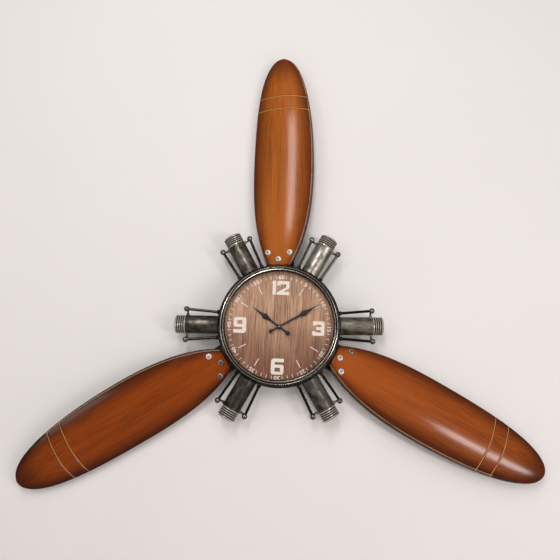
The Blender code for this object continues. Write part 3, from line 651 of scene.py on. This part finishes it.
def piece(name, mesh, material, slot, body, matrix, *nodes):
    """A visible piece in its place, on its body, standing for its CAD nodes."""
    own = np.zeros(len(mesh.vertices) * 3, np.float32)
    mesh.vertices.foreach_get("co", own)
    mesh.attributes.new("place", "FLOAT_VECTOR", "POINT").data.foreach_set("vector", own)
    mesh.transform(matrix)
    mesh.materials.clear()
    mesh.materials.append(material)
    made = linked(name, mesh)
    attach(made, body)
    if nodes:
        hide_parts(*nodes)


def restyle(material, *nodes):
    """Gives CAD nodes that stay in view a detailed material."""
    for node in nodes:
        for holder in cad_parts[node].material_slots:
            holder.material = material


def arm(angle):
    """Frame of an arm that points out at an angle, anticlockwise from the right."""
    return Matrix.Rotation(math.radians(90 - angle), 4, "Y")


# ------------ drum, bezel, dial

def make_rings():
    """Pressed drum with a rolled shoulder, and the bezel with its two beads."""
    inner = DRUM_RADIUS - DRUM_WALL
    straight = DRUM_FRONT - DRUM_SHOULDER
    shoulder = [(DRUM_RADIUS - DRUM_SHOULDER * (1 - math.cos(math.radians(a))),
                 straight + DRUM_SHOULDER * math.sin(math.radians(a))) for a in range(90, -1, -15)]
    drum = [(LIP_RADIUS, DRUM_FRONT), *shoulder,
            (DRUM_RADIUS, DRUM_BACK + DRUM_EDGE), (DRUM_RADIUS - DRUM_EDGE, DRUM_BACK),
            (inner, DRUM_BACK), (inner, straight),
            (inner - DRUM_FILLET, DRUM_FRONT - DRUM_WALL), (LIP_RADIUS, DRUM_FRONT - DRUM_WALL)]
    piece("drum", lathe(drum, RING_STEPS), GUNMETAL, "gunmetal", "root", FRONT, "drum_case")

    def polish(radius, height):
        """Most on the crests of the two beads."""
        if height < BEAD_LOWEST:
            return 0.1
        return max(math.exp(-((radius - bead) / BEAD_HALF_WIDTH) ** 2 * BEAD_FALLOFF) for bead in BEAD_RADII)

    bezel = lathe(BEZEL_PROFILE, RING_STEPS, wear=polish)
    piece("bezel_ring", bezel, BEZEL_METAL, "gunmetal", "root", FRONT, "bezel")


# Numerals as outlines in millimetres; a third number is a corner's radius
ONE = [((-3.75, -15.5), (3.75, -15.5), (3.75, 15.5), (-2.2, 15.5), (-4.8, 13.3), (-4.8, 9.6), (-3.75, 9.6))]
TWO = [((-13, 5.2), (-13, 15.5, 3), (13.8, 15.5, 4), (13.8, -0.5, 3), (1, -8.1), (13.8, -8.1), (13.8, -15.5),
        (-13.8, -15.5), (-13.8, -10.5), (6.2, 1.5), (6.2, 8.1), (-5.8, 8.1), (-5.8, 5.2))]
THREE = [((-12.5, 15.85, 2), (13.25, 15.85, 5), (13.25, 1.8), (12.2, 0), (13.25, -1.8), (13.25, -15.85, 5),
          (-13.25, -15.85, 4), (-13.25, -6), (-6.2, -6), (-6.2, -8.5), (5.9, -8.5, 1.5), (5.9, -3.2, 1.5),
          (-5, -3.2), (-5, 3.4), (5.9, 3.4, 1.5), (5.9, 8.6, 1.5), (-5.5, 8.6), (-5.5, 6.6), (-12.5, 6.6))]
SIX = [((-13.8, -17.1, 6), (-13.8, 17.1, 7), (13.8, 17.1, 2), (13.8, 9.4), (-5.6, 9.4), (-5.6, 4.2),
        (13.8, 4.2, 5), (13.8, -17.1, 6)),
       ((-5.6, -2.5, 1.5), (6.1, -2.5, 1.5), (6.1, -10.9, 1.5), (-5.6, -10.9, 1.5))]


def numeral(shapes):
    """A big raised numeral."""
    loops = [[(x / 1000, y / 1000) for x, y in rounded(shape)] for shape in shapes]
    return extruded(loops, PRINT_THICKNESS)


def make_dial():
    """The printed board with raised numerals, batons, minute ticks and five-minute numbers."""
    turned = HANDS_FRONT @ Matrix.Rotation(-DIAL_TURN, 4, "Z")
    board = cylinder(DIAL_PRINT_RADIUS, DIAL_FRONT, DIAL_BACK, RING_STEPS)
    board.transform(turned.inverted() @ FRONT)
    drill = cylinder(STEM_HOLE_RADIUS, 0.0, DRILL_REACH, SMALL_STEPS)
    board = combined(board, [drill], "DIFFERENCE")
    piece("dial_board", board, DIAL_WOOD, "dial_print", "root", turned, "dial")
    marks = bmesh.new()
    lift = DIAL_FRONT + PRINT_LIFT
    half_turn = Matrix.Rotation(math.pi, 4, "Z")
    wide = Matrix.Scale(SMALL_NUMBER_STRETCH, 4, (1, 0, 0))
    r = NUMERAL_RADIUS
    for shapes, x, y, flip in ((ONE, DIGIT_ONE_X, r, False), (TWO, DIGIT_TWO_X, r, False),
                               (THREE, r, 0, False), (SIX, 0, -r, False), (SIX, -r, 0, True)):
        place = Matrix.Translation((x, y, lift))
        gather(marks, numeral(shapes), place @ half_turn if flip else place)
    for minute in range(60):
        spin = Matrix.Rotation(-math.tau * minute / 60, 4, "Z")
        (inner, outer), width = (TICK_RADII, TICK_WIDTH) if minute % 5 else (BATON_RADII, BATON_WIDTH)
        if minute % 5 == 0:
            label = lettered(str(minute or 60), SMALL_NUMBER_SIZE, PRINT_THICKNESS)
            gather(marks, label, spin @ Matrix.Translation((0, SMALL_NUMBER_RADIUS, lift)) @ wide)
        if minute % 15:
            half = width / 2
            bar = extruded([[(-half, inner), (half, inner), (half, outer), (-half, outer)]], PRINT_THICKNESS)
            gather(marks, bar, spin @ Matrix.Translation((0, 0, lift)))
    piece("dial_marks", finished(marks, "marks"), DIAL_INK, "dial_print", "root", turned)


def disc_outline(radius, y, start, end, count):
    """Points on a circle round (0, y), angles in degrees from +X."""
    angles = [math.radians(start + (end - start) * i / count) for i in range(count + 1)]
    return [(radius * math.cos(a), y + radius * math.sin(a)) for a in angles]


def hand_outline(length, lozenge, half, stalk, tail, blob):
    """A hand along +Y: needle, lozenge of (start, widest, end), stalk, hub, and a tail with a round end."""
    start, widest, end = lozenge
    right = [(0.0004, length), (0.00155, end + 0.004), (0.0021, end),
             (half * 0.62, widest + (end - widest) * 0.42), (half * 0.97, widest + (end - widest) * 0.08),
             (half, widest), (half * 0.93, widest - (widest - start) * 0.16),
             (half * 0.55, widest - (widest - start) * 0.55), (stalk, start)]
    right += disc_outline(HAND_HUB_RADIUS, 0, 72, -68, 12)
    right += [(stalk * 0.9, -(tail - blob * 1.25))]
    right += disc_outline(blob, -tail, 58, -90, 12)
    return right + [(-x, y) for x, y in reversed(right[:-1])]


def make_hand(name, node, body, shape, angle, bore, collet):
    """A stamped hand with a collet round its arbor."""
    back, front = depths(node)
    blade = finished(extruded([hand_outline(*shape)], HAND_THICKNESS, HAND_BEVEL), name)
    blade.transform(Matrix.Translation((0, 0, back + GAP)))
    tube = lathe([(0.0, back), (collet, back), (collet, front - 0.0002), (collet - 0.0002, front),
                  (0.0, front)], SMALL_STEPS, closed=False)
    drill = cylinder(bore, back - 0.01, front + 0.01, ROD_STEPS)
    mesh = combined(combined(blade, [tube], "UNION"), [drill], "DIFFERENCE")
    place = HANDS_FRONT @ Matrix.Rotation(-angle, 4, "Z")
    piece(name, mesh, HAND_PAINT, "hand_black", body, place, node)


def make_hands():
    """Hour hand on its pipe, minute hand on its arbor, and the cap nut."""
    make_hand("hour_hand_plate", "hour_hand", "hour", HOUR_HAND_SHAPE,
              HOUR_HAND_ANGLE, HOUR_HAND_BORE, HOUR_HAND_COLLET)
    make_hand("minute_hand_plate", "minute_hand", "minute", MINUTE_HAND_SHAPE,
              MINUTE_HAND_ANGLE, MINUTE_HAND_BORE, MINUTE_HAND_COLLET)
    back, front = depths("hand_nut")
    profile = [(0.0, front), (0.0008, front), (0.0020, front - 0.0004), (0.0029, front - 0.0011),
               (0.0034, front - 0.0018), (0.0034, back), (0.0020, back), (0.0020, front - 0.0009),
               (0.0, front - 0.0009)]
    nut = lathe(profile, SMALL_STEPS, closed=False,
                wear=lambda radius, height: 0.8 if radius < 0.0022 else 0.2)
    piece("hand_cap_nut", nut, ROD_METAL, "hand_black", "minute", HANDS_FRONT, "hand_nut")


# ------------ cylinder arms

def on_drum(point):
    """Moves a point of a tube's foot onto the drum wall."""
    x, y, z = point
    if z > BARREL_FOOT:
        return point
    return x, y, math.sqrt(ARM_FOOT_RADIUS ** 2 - x ** 2)


def barrel_mesh():
    """Tube that follows the drum wall at its foot, with a boss at each side."""
    outer = BARREL_RADIUS
    inner = outer - BARREL_WALL
    profile = [(outer, BARREL_FOOT), (outer, 0.150), (outer, 0.170), (outer, BARREL_END - BARREL_EDGE),
               (outer - BARREL_EDGE, BARREL_END), (inner, BARREL_END), (inner, BARREL_FOOT)]
    tube = lathe(profile, BARREL_STEPS, bend=on_drum)
    start = inner + GAP
    profile = [(0.0, start), (BOSS_RADIUS, start), (BOSS_RADIUS, BOSS_REACH - BARREL_EDGE),
               (BOSS_RADIUS - BARREL_EDGE, BOSS_REACH), (0.0, BOSS_REACH)]
    bosses = []
    for sign in (-1, 1):
        boss = lathe(profile, BOSS_STEPS, closed=False)
        boss.transform(Matrix.Translation((0, BARREL_DEPTH - ROD_DEPTH, LINK_RADIAL))
                       @ Matrix.Rotation(math.radians(90 * sign), 4, "Y"))
        bosses.append(boss)
    return combined(tube, bosses, "UNION")


def head_mesh():
    """Ribbed head with round crests, darker between them, and a domed end."""
    shoulder = BARREL_END + GAP
    spigot = BARREL_RADIUS - BARREL_WALL - GAP
    spigot_end = BARREL_END - SPIGOT_LENGTH
    first = HEAD_END - FIRST_RIB_DROP
    valley = HEAD_RADIUS - RIB_HEIGHT
    profile = [(0.0, HEAD_END), (HEAD_RADIUS * 0.45, HEAD_END - 0.0001),
               (HEAD_RADIUS - 0.0048, HEAD_END - 0.0004), (HEAD_RADIUS - 0.0026, HEAD_END - 0.0010),
               (HEAD_RADIUS - 0.0009, HEAD_END - 0.0022)]
    swing = RIB_HEIGHT / 2
    for i in range(RIB_COUNT * RIB_POINTS + 1):
        turn = math.cos(math.tau * i / RIB_POINTS)
        shape = math.copysign(abs(turn) ** 0.7, turn)
        profile.append((valley + swing + swing * shape, first - i * RIB_PITCH / RIB_POINTS))
    profile += [(HEAD_RADIUS, shoulder), (spigot, shoulder), (spigot, spigot_end), (0.0, spigot_end)]

    def polish(radius, height):
        """High on the end, and on the ribs by their height."""
        if height > HEAD_END - 0.0030:
            return 0.85
        return max(0.0, min(1.0, (radius - valley) / RIB_HEIGHT)) ** 1.3

    return lathe(profile, BARREL_STEPS, closed=False, wear=polish)


def rod_mesh(lean):
    """Push rod along Z below its ball, with a boss where it meets the drum."""
    length = (BALL_RADIAL - DRUM_RADIUS) / math.cos(lean)
    boss_top = ROD_BOSS_HEIGHT - length
    foot = -(length + ROD_FOOT_SINK)
    ball = [(BALL_RADIUS * math.sin(math.radians(a)), BALL_RADIUS * math.cos(math.radians(a)))
            for a in range(0, 151, 10)]
    profile = ball + [(ROD_RADIUS, -BALL_RADIUS), (ROD_RADIUS, boss_top + 0.0003),
                      (ROD_RADIUS + 0.0003, boss_top), (ROD_BOSS_RADIUS - 0.0004, boss_top - 0.0002),
                      (ROD_BOSS_RADIUS, boss_top - 0.0008), (ROD_BOSS_RADIUS, foot), (0.0, foot)]
    return lathe(profile, ROD_STEPS, closed=False,
                 wear=lambda radius, height: 0.55 if height > -BALL_RADIUS else 0.25)


def placed_rod(sign):
    """Push rod of one side in its arm's frame, trimmed to the drum, with its link to the barrel."""
    lean = math.atan2(BALL_X - ROD_FOOT_X, BALL_RADIAL - DRUM_RADIUS)
    rod = rod_mesh(lean)
    rod.transform(Matrix.Translation((sign * BALL_X, -ROD_DEPTH, BALL_RADIAL))
                  @ Matrix.Rotation(sign * lean, 4, "Y"))
    link = cylinder(LINK_RADIUS, 0.0, BALL_X - BOSS_REACH - GAP, LINK_STEPS)
    link.transform(Matrix.Translation((sign * (BOSS_REACH + GAP), -ROD_DEPTH, LINK_RADIAL))
                   @ Matrix.Rotation(math.radians(90 * sign), 4, "Y"))
    drum = cylinder(ARM_FOOT_RADIUS, -0.2, 0.2, RING_STEPS)
    drum.transform(FRONT)
    return combined(combined(rod, [link], "UNION"), [drum], "DIFFERENCE")


# Each barrel's worn silver and how dark the barrel is on the whole, set barrel by barrel as painted light
# and shade, the upper right barrel lightest
BARREL_WEAR_AND_LIGHT = (((190, 180, 166), 0.51), ((226, 217, 203), 0.48), ((168, 158, 146), 0.53),
                ((156, 147, 136), 0.55), ((142, 133, 123), 0.56), ((172, 162, 150), 0.52))
BARREL_METALS = [
    streaked_metal("barrel_metal_%d" % number, srgb(62, 57, 51), srgb(*light), 0.38, balance, number * 1.7)
    for number, (light, balance) in enumerate(BARREL_WEAR_AND_LIGHT, start=1)]


def make_arms():
    """Six barrels with their heads and push rods."""
    barrel = barrel_mesh()
    head = head_mesh()
    rods = {"a": placed_rod(-1), "b": placed_rod(1)}
    for number, angle in enumerate(ARM_ANGLES, start=1):
        place = arm(angle)
        on_axis = place @ Matrix.Translation((0, -BARREL_DEPTH, 0))
        piece("barrel_%d" % number, barrel.copy(), BARREL_METALS[number - 1], "gunmetal", "root", on_axis,
              "cylinder_barrel_%d" % number)
        piece("head_%d" % number, head.copy(), HEAD_METAL, "worn_steel", "root", on_axis,
              "cylinder_head_%d" % number)
        for side, rod in rods.items():
            piece("rod_%d%s" % (number, side), rod.copy(), ROD_METAL, "dark_steel", "root", place,
                  "push_rod_%d%s" % (number, side))


# ------------ blades

def cubic(points, count):
    """Points along a cubic Bezier arc."""
    t = np.linspace(0, 1, count)[:, None]
    a, b, c, d = (np.array(p) for p in points)
    return (1 - t) ** 3 * a + 3 * (1 - t) ** 2 * t * b + 3 * (1 - t) * t * t * c + t ** 3 * d


INNER_EDGE = cubic(((BLADE_ROOT, ROOT_HALF_WIDTH), (0.191, 0.0545), (0.255, BLADE_HALF_WIDTH),
                    (BLADE_WIDEST, BLADE_HALF_WIDTH)), 200)
OUTER_EDGE = cubic(((BLADE_WIDEST, BLADE_HALF_WIDTH), (0.540, BLADE_HALF_WIDTH), (BLADE_TIP, 0.048),
                    (BLADE_TIP, 0.0)), 400)
EDGE_LINE = np.vstack((INNER_EDGE, OUTER_EDGE[1:]))


def smooth(value, low, high):
    """Smooth step from 0 at low to 1 at high."""
    t = max(0.0, min(1.0, (value - low) / (high - low)))
    return t * t * (3 - 2 * t)


def blade_section(station, reach):
    """Half width, edge height, crown, groove depth, sideways bow and distance from the hub axis."""
    start, full, fade, end = BOW_SPAN
    window = smooth(station, start, full) * (1 - smooth(station, fade, end))
    radial = station + GROOVE_BOW * (1 - reach * reach) * window
    half = float(np.interp(radial, EDGE_LINE[:, 0], EDGE_LINE[:, 1]))
    along = (radial - BLADE_ROOT) / (BLADE_TIP - BLADE_ROOT)
    edge = EDGE_THICKNESS + (TIP_EDGE_THICKNESS - EDGE_THICKNESS) * along ** 3
    narrow = half / BLADE_HALF_WIDTH
    crown = CROWN_HEIGHT * (0.25 + 0.75 * narrow) * narrow ** 0.5
    groove = ROOT_CHAMFER * (1 - smooth(station, BLADE_ROOT, BLADE_ROOT + ROOT_CHAMFER_LENGTH))
    for middle in GROOVES:
        groove += float(np.interp(station - middle, GROOVE_DISTANCES, GROOVE_DEPTHS))
    return half, edge, crown, groove, BLADE_BOW * math.sin(math.pi * along), radial


def blade_ring(station):
    """One section as (x, y, z, across, side, inset) points, from the back round to the leading corner."""
    ring = []

    def add(reach, inset, rise, side):
        """rise is 0 to 1 up the trailing flank, -1 to 0 round its corner, and None on the crowned front."""
        half, edge, crown, groove, bow, radial = blade_section(station, reach)
        soft = min(TRAILING_SOFTNESS, half * 0.3)
        if rise is None:
            height = edge + crown * (1 - reach * reach) - groove
        elif rise < 0:
            height = edge - soft + (crown * TRAILING_CROWN - groove + soft) * (1 + rise)
        else:
            height = rise * (edge - soft)
        ring.append((reach * half + inset + bow, -height, radial, reach, side, half * (1 - reach)))

    add(1.0, -0.0006, 0.0, 1.0)
    for reach, rise in ((-0.94, 0.0), (-0.985, 0.06), (-1.0, 0.25)):
        add(reach, 0.0, rise, 1.0)
    for degrees in (90, 72, 54, 36, 18):
        angle = math.radians(degrees)
        add(-(0.8 + 0.2 * math.sin(angle)), 0.0, math.cos(angle) - 1.0, 0.0 if degrees < 80 else 0.9)
    for step in range(-20, 24):
        add(step / 25, 0.0, None, 0.0)
    half, edge, _, groove, bow, radial = blade_section(station, 1.0)
    for inset, height, side in LIP_SECTION:
        inset = min(inset, half * 0.2)
        ring.append((half - inset + bow, -(edge - groove + height), radial, 1.0 - inset / half, side, inset))
    ring.append((half + bow, -0.0006, radial, 1.0, 1.0, 0.0))
    return ring


def blade_stations():
    """Distances along the blade, close together at the root, in the grooves and at the tip."""
    stations = {BLADE_ROOT, BLADE_ROOT + ROOT_CHAMFER_LENGTH / 2, BLADE_ROOT + ROOT_CHAMFER_LENGTH}
    stations |= set(np.linspace(BLADE_ROOT + 0.004, 0.505, 58).tolist())
    stations |= set((BLADE_TIP - (BLADE_TIP - 0.550) * np.linspace(1, 0.035, 34) ** 1.7).tolist())
    for middle in GROOVES:
        stations |= {middle + offset for offset, _ in GROOVE_SECTION}
    stations |= set(np.linspace(0.516, 0.538, 6).tolist())
    return sorted(stations)


def blade_mesh():
    """Solid blade with two shallow grooves, and a spot face and hole for each bolt."""
    work = bmesh.new()
    layers = [work.verts.layers.float.new(name) for name in ("across", "side", "inset", "along")]
    rings = []
    for station in blade_stations():
        ring = []
        for x, y, z, across, side, inset in blade_ring(station):
            vertex = work.verts.new((x, y, z))
            for layer, value in zip(layers, (across, side, inset, station)):
                vertex[layer] = value
            ring.append(vertex)
        rings.append(ring)
    size = len(rings[0])
    for lower, upper in zip(rings, rings[1:]):
        for i in range(size):
            work.faces.new((lower[i], lower[(i + 1) % size], upper[(i + 1) % size], upper[i]))
    work.faces.new(rings[0])
    tip = work.verts.new((0, -TIP_EDGE_THICKNESS * 0.5, BLADE_TIP))
    for layer, value in zip(layers, (0.0, 1.0, 0.01, BLADE_TIP)):
        tip[layer] = value
    for i in range(size):
        work.faces.new((rings[-1][i], rings[-1][(i + 1) % size], tip))
    drills = []
    for x, radial, seat in BOLT_PLACES:
        drill = lathe([(0.0, -0.02), (BOLT_HOLE_RADIUS, -0.02), (BOLT_HOLE_RADIUS, seat),
                       (SPOT_RADIUS, seat), (SPOT_RADIUS, 0.05), (0.0, 0.05)], SMALL_STEPS, closed=False)
        drill.transform(Matrix.Translation((x, 0, radial)) @ FRONT)
        drills.append(drill)
    return combined(finished(work, "blade"), drills, "DIFFERENCE")


def bolt_mesh():
    """Button head with a hexagonal recess round a small centre pip."""
    h = BOLT_HEAD_HEIGHT
    r = BOLT_HEAD_RADIUS
    profile = [(0.0, h)]
    for degrees in range(15, 91, 15):
        turn = math.radians(degrees)
        profile.append((r * (0.42 + 0.58 * math.sin(turn)), h * (0.22 + 0.78 * math.cos(turn))))
    profile += [(r, 0.0002), (r - 0.0002, 0.0), (BOLT_SHANK_RADIUS, 0.0),
                (BOLT_SHANK_RADIUS, BOLT_TIP + 0.0006), (BOLT_SHANK_RADIUS - 0.0006, BOLT_TIP),
                (0.0, BOLT_TIP)]
    body = lathe(profile, SMALL_STEPS, closed=False, wear=lambda radius, height: 0.95)
    recess = cylinder(BOLT_RECESS_RADIUS, h - BOLT_RECESS_DEPTH, h + 0.002, HEXAGON)
    cut = combined(body, [recess], "DIFFERENCE")
    pip = lathe([(0.0, h - 0.0020), (0.0011, h - 0.0020), (0.0011, h - 0.0012), (0.0007, h - 0.0009),
                 (0.0, h - 0.0008)], PIP_STEPS, closed=False, wear=lambda radius, height: 1.0)
    return combined(cut, [pip], "UNION")


# Wood, burnt edge and edging line as display colours, where the edging line ends, and the grain's shift
# Each blade's wood and burnt edge colours are set lighter or darker, blade by blade, as painted light and
# shade; the top blade's pale lip line is a painted reflection, and the others' gold lines are worn gilt with
# a painted highlight.
BLADE_LOOKS = {
    "top": ((164, 88, 29), (84, 32, 9), (226, 192, 172), BLADE_TIP, 0.0),
    "left": ((136, 60, 12), (50, 17, 6), (222, 184, 134), 0.545, 11.0),
    "right": ((152, 74, 25), (62, 21, 7), (222, 184, 134), 0.545, 23.0)}
BLADE_WOODS = {
    label: lacquered_wood("blade_wood_" + label, srgb(*warm), srgb(*shade), srgb(*lip_gilt_and_glint), line_end, shift)
    for label, (warm, shade, lip_gilt_and_glint, line_end, shift) in BLADE_LOOKS.items()}


def make_blades():
    """Three blades and their bolts."""
    blade = blade_mesh()
    bolt = bolt_mesh()
    seat = Matrix.Translation((0, -BLADE_SEAT_DEPTH, 0)) @ Matrix.Rotation(-BLADE_PITCH, 4, "Z")
    for label, angle in BLADE_ANGLES.items():
        place = arm(angle) @ seat
        piece("wood_blade_" + label, blade.copy(), BLADE_WOODS[label], "lacquered_wood", "root", place,
              "blade_" + label)
        for number, (x, radial, height) in enumerate(BOLT_PLACES, start=1):
            spot = place @ Matrix.Translation((x, -(height + GAP), radial)) @ FRONT
            name = "%s_%d" % (label, number)
            # Some bolts get the darker copy of the steel, which is painted shade
            finish = SHADED_BOLT_METAL if name in SHADED_BOLTS else BOLT_METAL
            piece("bolt_" + name, bolt.copy(), finish, "bright_steel", "root", spot, "blade_bolt_" + name)


# ------------ wall, light and camera

WALL_SETBACK = 0.0015
WALL_COLOUR = srgb(243, 238, 236)
STAGE_HALF = 3.0
FLOOR_Z = -1.4
FLOOR_COLOUR = srgb(226, 220, 216)
WORLD_COLOUR = (1.0, 0.99, 0.985, 1.0)
WORLD_STRENGTH = 0.17
WARM = (1.0, 0.985, 0.97)
SOFT = (1.0, 0.99, 0.98)
# Name, place, point aimed at, width, height, roll in degrees, watts, colour, and whether gloss mirrors it
LIGHTS = (
    ("key_box", (1.50, -1.75, -0.37), (0.3, 0, -0.2), 0.95, 0.22, -29, 12, WARM, True),
    ("fill_box", (-1.50, -1.75, -0.20), (-0.3, 0, -0.1), 0.80, 0.28, 31, 2.4, SOFT, True),
    ("top_box", (-0.28, -2.0, 1.08), (0, 0, 0.3), 0.34, 1.10, 0, 13, SOFT, True),
    ("right_box", (1.5, -3.3, 1.1), (0.1, 0, 0.4), 1.6, 1.6, 0, 15, WARM, False),
    ("left_box", (-1.9, -3.0, 1.1), (-0.2, 0, 0.4), 1.6, 1.6, 0, 18, SOFT, False),
    ("ceiling_box", (0.0, -2.2, 2.6), (0, 0, 0.2), 2.0, 1.0, 0, 13, SOFT, False),
    ("rear_box", (0.3, 2.8, 0.7), (0, 0, 0), 1.8, 1.8, 0, 60, SOFT, False))
CAMERA_PLACE = (0.0015, -1.2, -0.0888)
CAMERA_TILT = math.radians(99.35)
CAMERA_ROLL = math.radians(0.27)
CAMERA_LENS = 33.77


def one_sided(name, colour):
    """Matt paint that is seen from the front only."""
    f = Finish(name, 0.0, True, Roughness=0.85)
    tree = f.tree
    tint = f.ramp(f.noise(0.25), (NOISE_LOW, scaled(colour, 0.985)), (NOISE_HIGH, colour))
    tree.links.new(tint, f.shader.inputs["Base Color"])
    gate = f.node("MixShader")
    clear = f.node("BsdfTransparent")
    output = next(node for node in tree.nodes if node.type == "OUTPUT_MATERIAL")
    tree.links.new(f.node("NewGeometry").outputs["Backfacing"], gate.inputs["Fac"])
    tree.links.new(f.shader.outputs["BSDF"], gate.inputs[1])
    tree.links.new(clear.outputs["BSDF"], gate.inputs[2])
    tree.links.new(gate.outputs["Shader"], output.inputs["Surface"])
    return f.material


def sheet(name, corners, colour):
    """A flat painted piece of the stage, which gloss does not mirror."""
    mesh = bpy.data.meshes.new(name)
    mesh.from_pydata(corners, [], [(0, 1, 2, 3)])
    mesh.materials.append(one_sided(name + "_paint", colour))
    made = linked(name, mesh)
    made.visible_glossy = False
    return made


def area_light(name, place, target, width, height, roll, energy, colour, mirrored):
    """A soft box that points at a target, rolled in degrees, out of view, and mirrored in gloss or not."""
    data = bpy.data.lights.new(name, "AREA")
    data.shape = "RECTANGLE"
    data.size = width
    data.size_y = height
    data.energy = energy
    data.color = colour
    made = linked(name, data)
    origin = Matrix.Translation(place)
    direction = Matrix.Translation(target).translation - origin.translation
    made.matrix_world = (origin @ direction.to_track_quat("-Z", "Y").to_matrix().to_4x4()
                         @ Matrix.Rotation(math.radians(roll), 4, "Z"))
    made.visible_camera = False
    made.visible_glossy = mirrored


def make_stage():
    """Wall behind the clock, floor far below it, the lights, the plain surround and the camera."""
    s = STAGE_HALF
    y = WALL_SETBACK
    wall = sheet("wall", [(-s, y, FLOOR_Z), (s, y, FLOOR_Z), (s, y, s), (-s, y, s)], WALL_COLOUR)
    wall.visible_shadow = False
    sheet("floor", [(-s, -2 * s, FLOOR_Z), (s, -2 * s, FLOOR_Z), (s, s, FLOOR_Z), (-s, s, FLOOR_Z)],
          FLOOR_COLOUR)
    for light in LIGHTS:
        area_light(*light)
    world = bpy.data.worlds.new("studio")
    world.use_nodes = True
    background = world.node_tree.nodes["Background"]
    background.inputs["Color"].default_value = WORLD_COLOUR
    background.inputs["Strength"].default_value = WORLD_STRENGTH
    bpy.context.scene.world = world
    data = bpy.data.cameras.new("camera")
    data.lens = CAMERA_LENS
    data.clip_start = 0.01
    camera = linked("camera", data)
    camera.matrix_world = (Matrix.Translation(CAMERA_PLACE) @ Matrix.Rotation(CAMERA_TILT, 4, "X")
                           @ Matrix.Rotation(CAMERA_ROLL, 4, "Z"))
    bpy.context.scene.camera = camera
    bpy.context.scene.view_settings.view_transform = "Standard"


make_rings()
make_dial()
make_hands()
make_arms()
make_blades()
restyle(BRACKET_METAL, "blade_bracket_top", "blade_bracket_left", "blade_bracket_right", "back_ring")
restyle(PLATED, "hanger_bar", "retaining_ring")
restyle(SCREW_METAL, "bar_screw_top", "bar_screw_bottom")
restyle(SPACER, "spacer_ring")
restyle(NUT_METAL, "stem_nut")
restyle(CASE_PLASTIC, "movement_case", "movement_cover", "set_knob")
restyle(BRASS, "minute_arbor")
restyle(NYLON, "motion_wheel", "hour_wheel")
restyle(WRAP, "battery")
restyle(GLASS, "glass_lens")
make_stage()

bpy.context.view_layer.update()
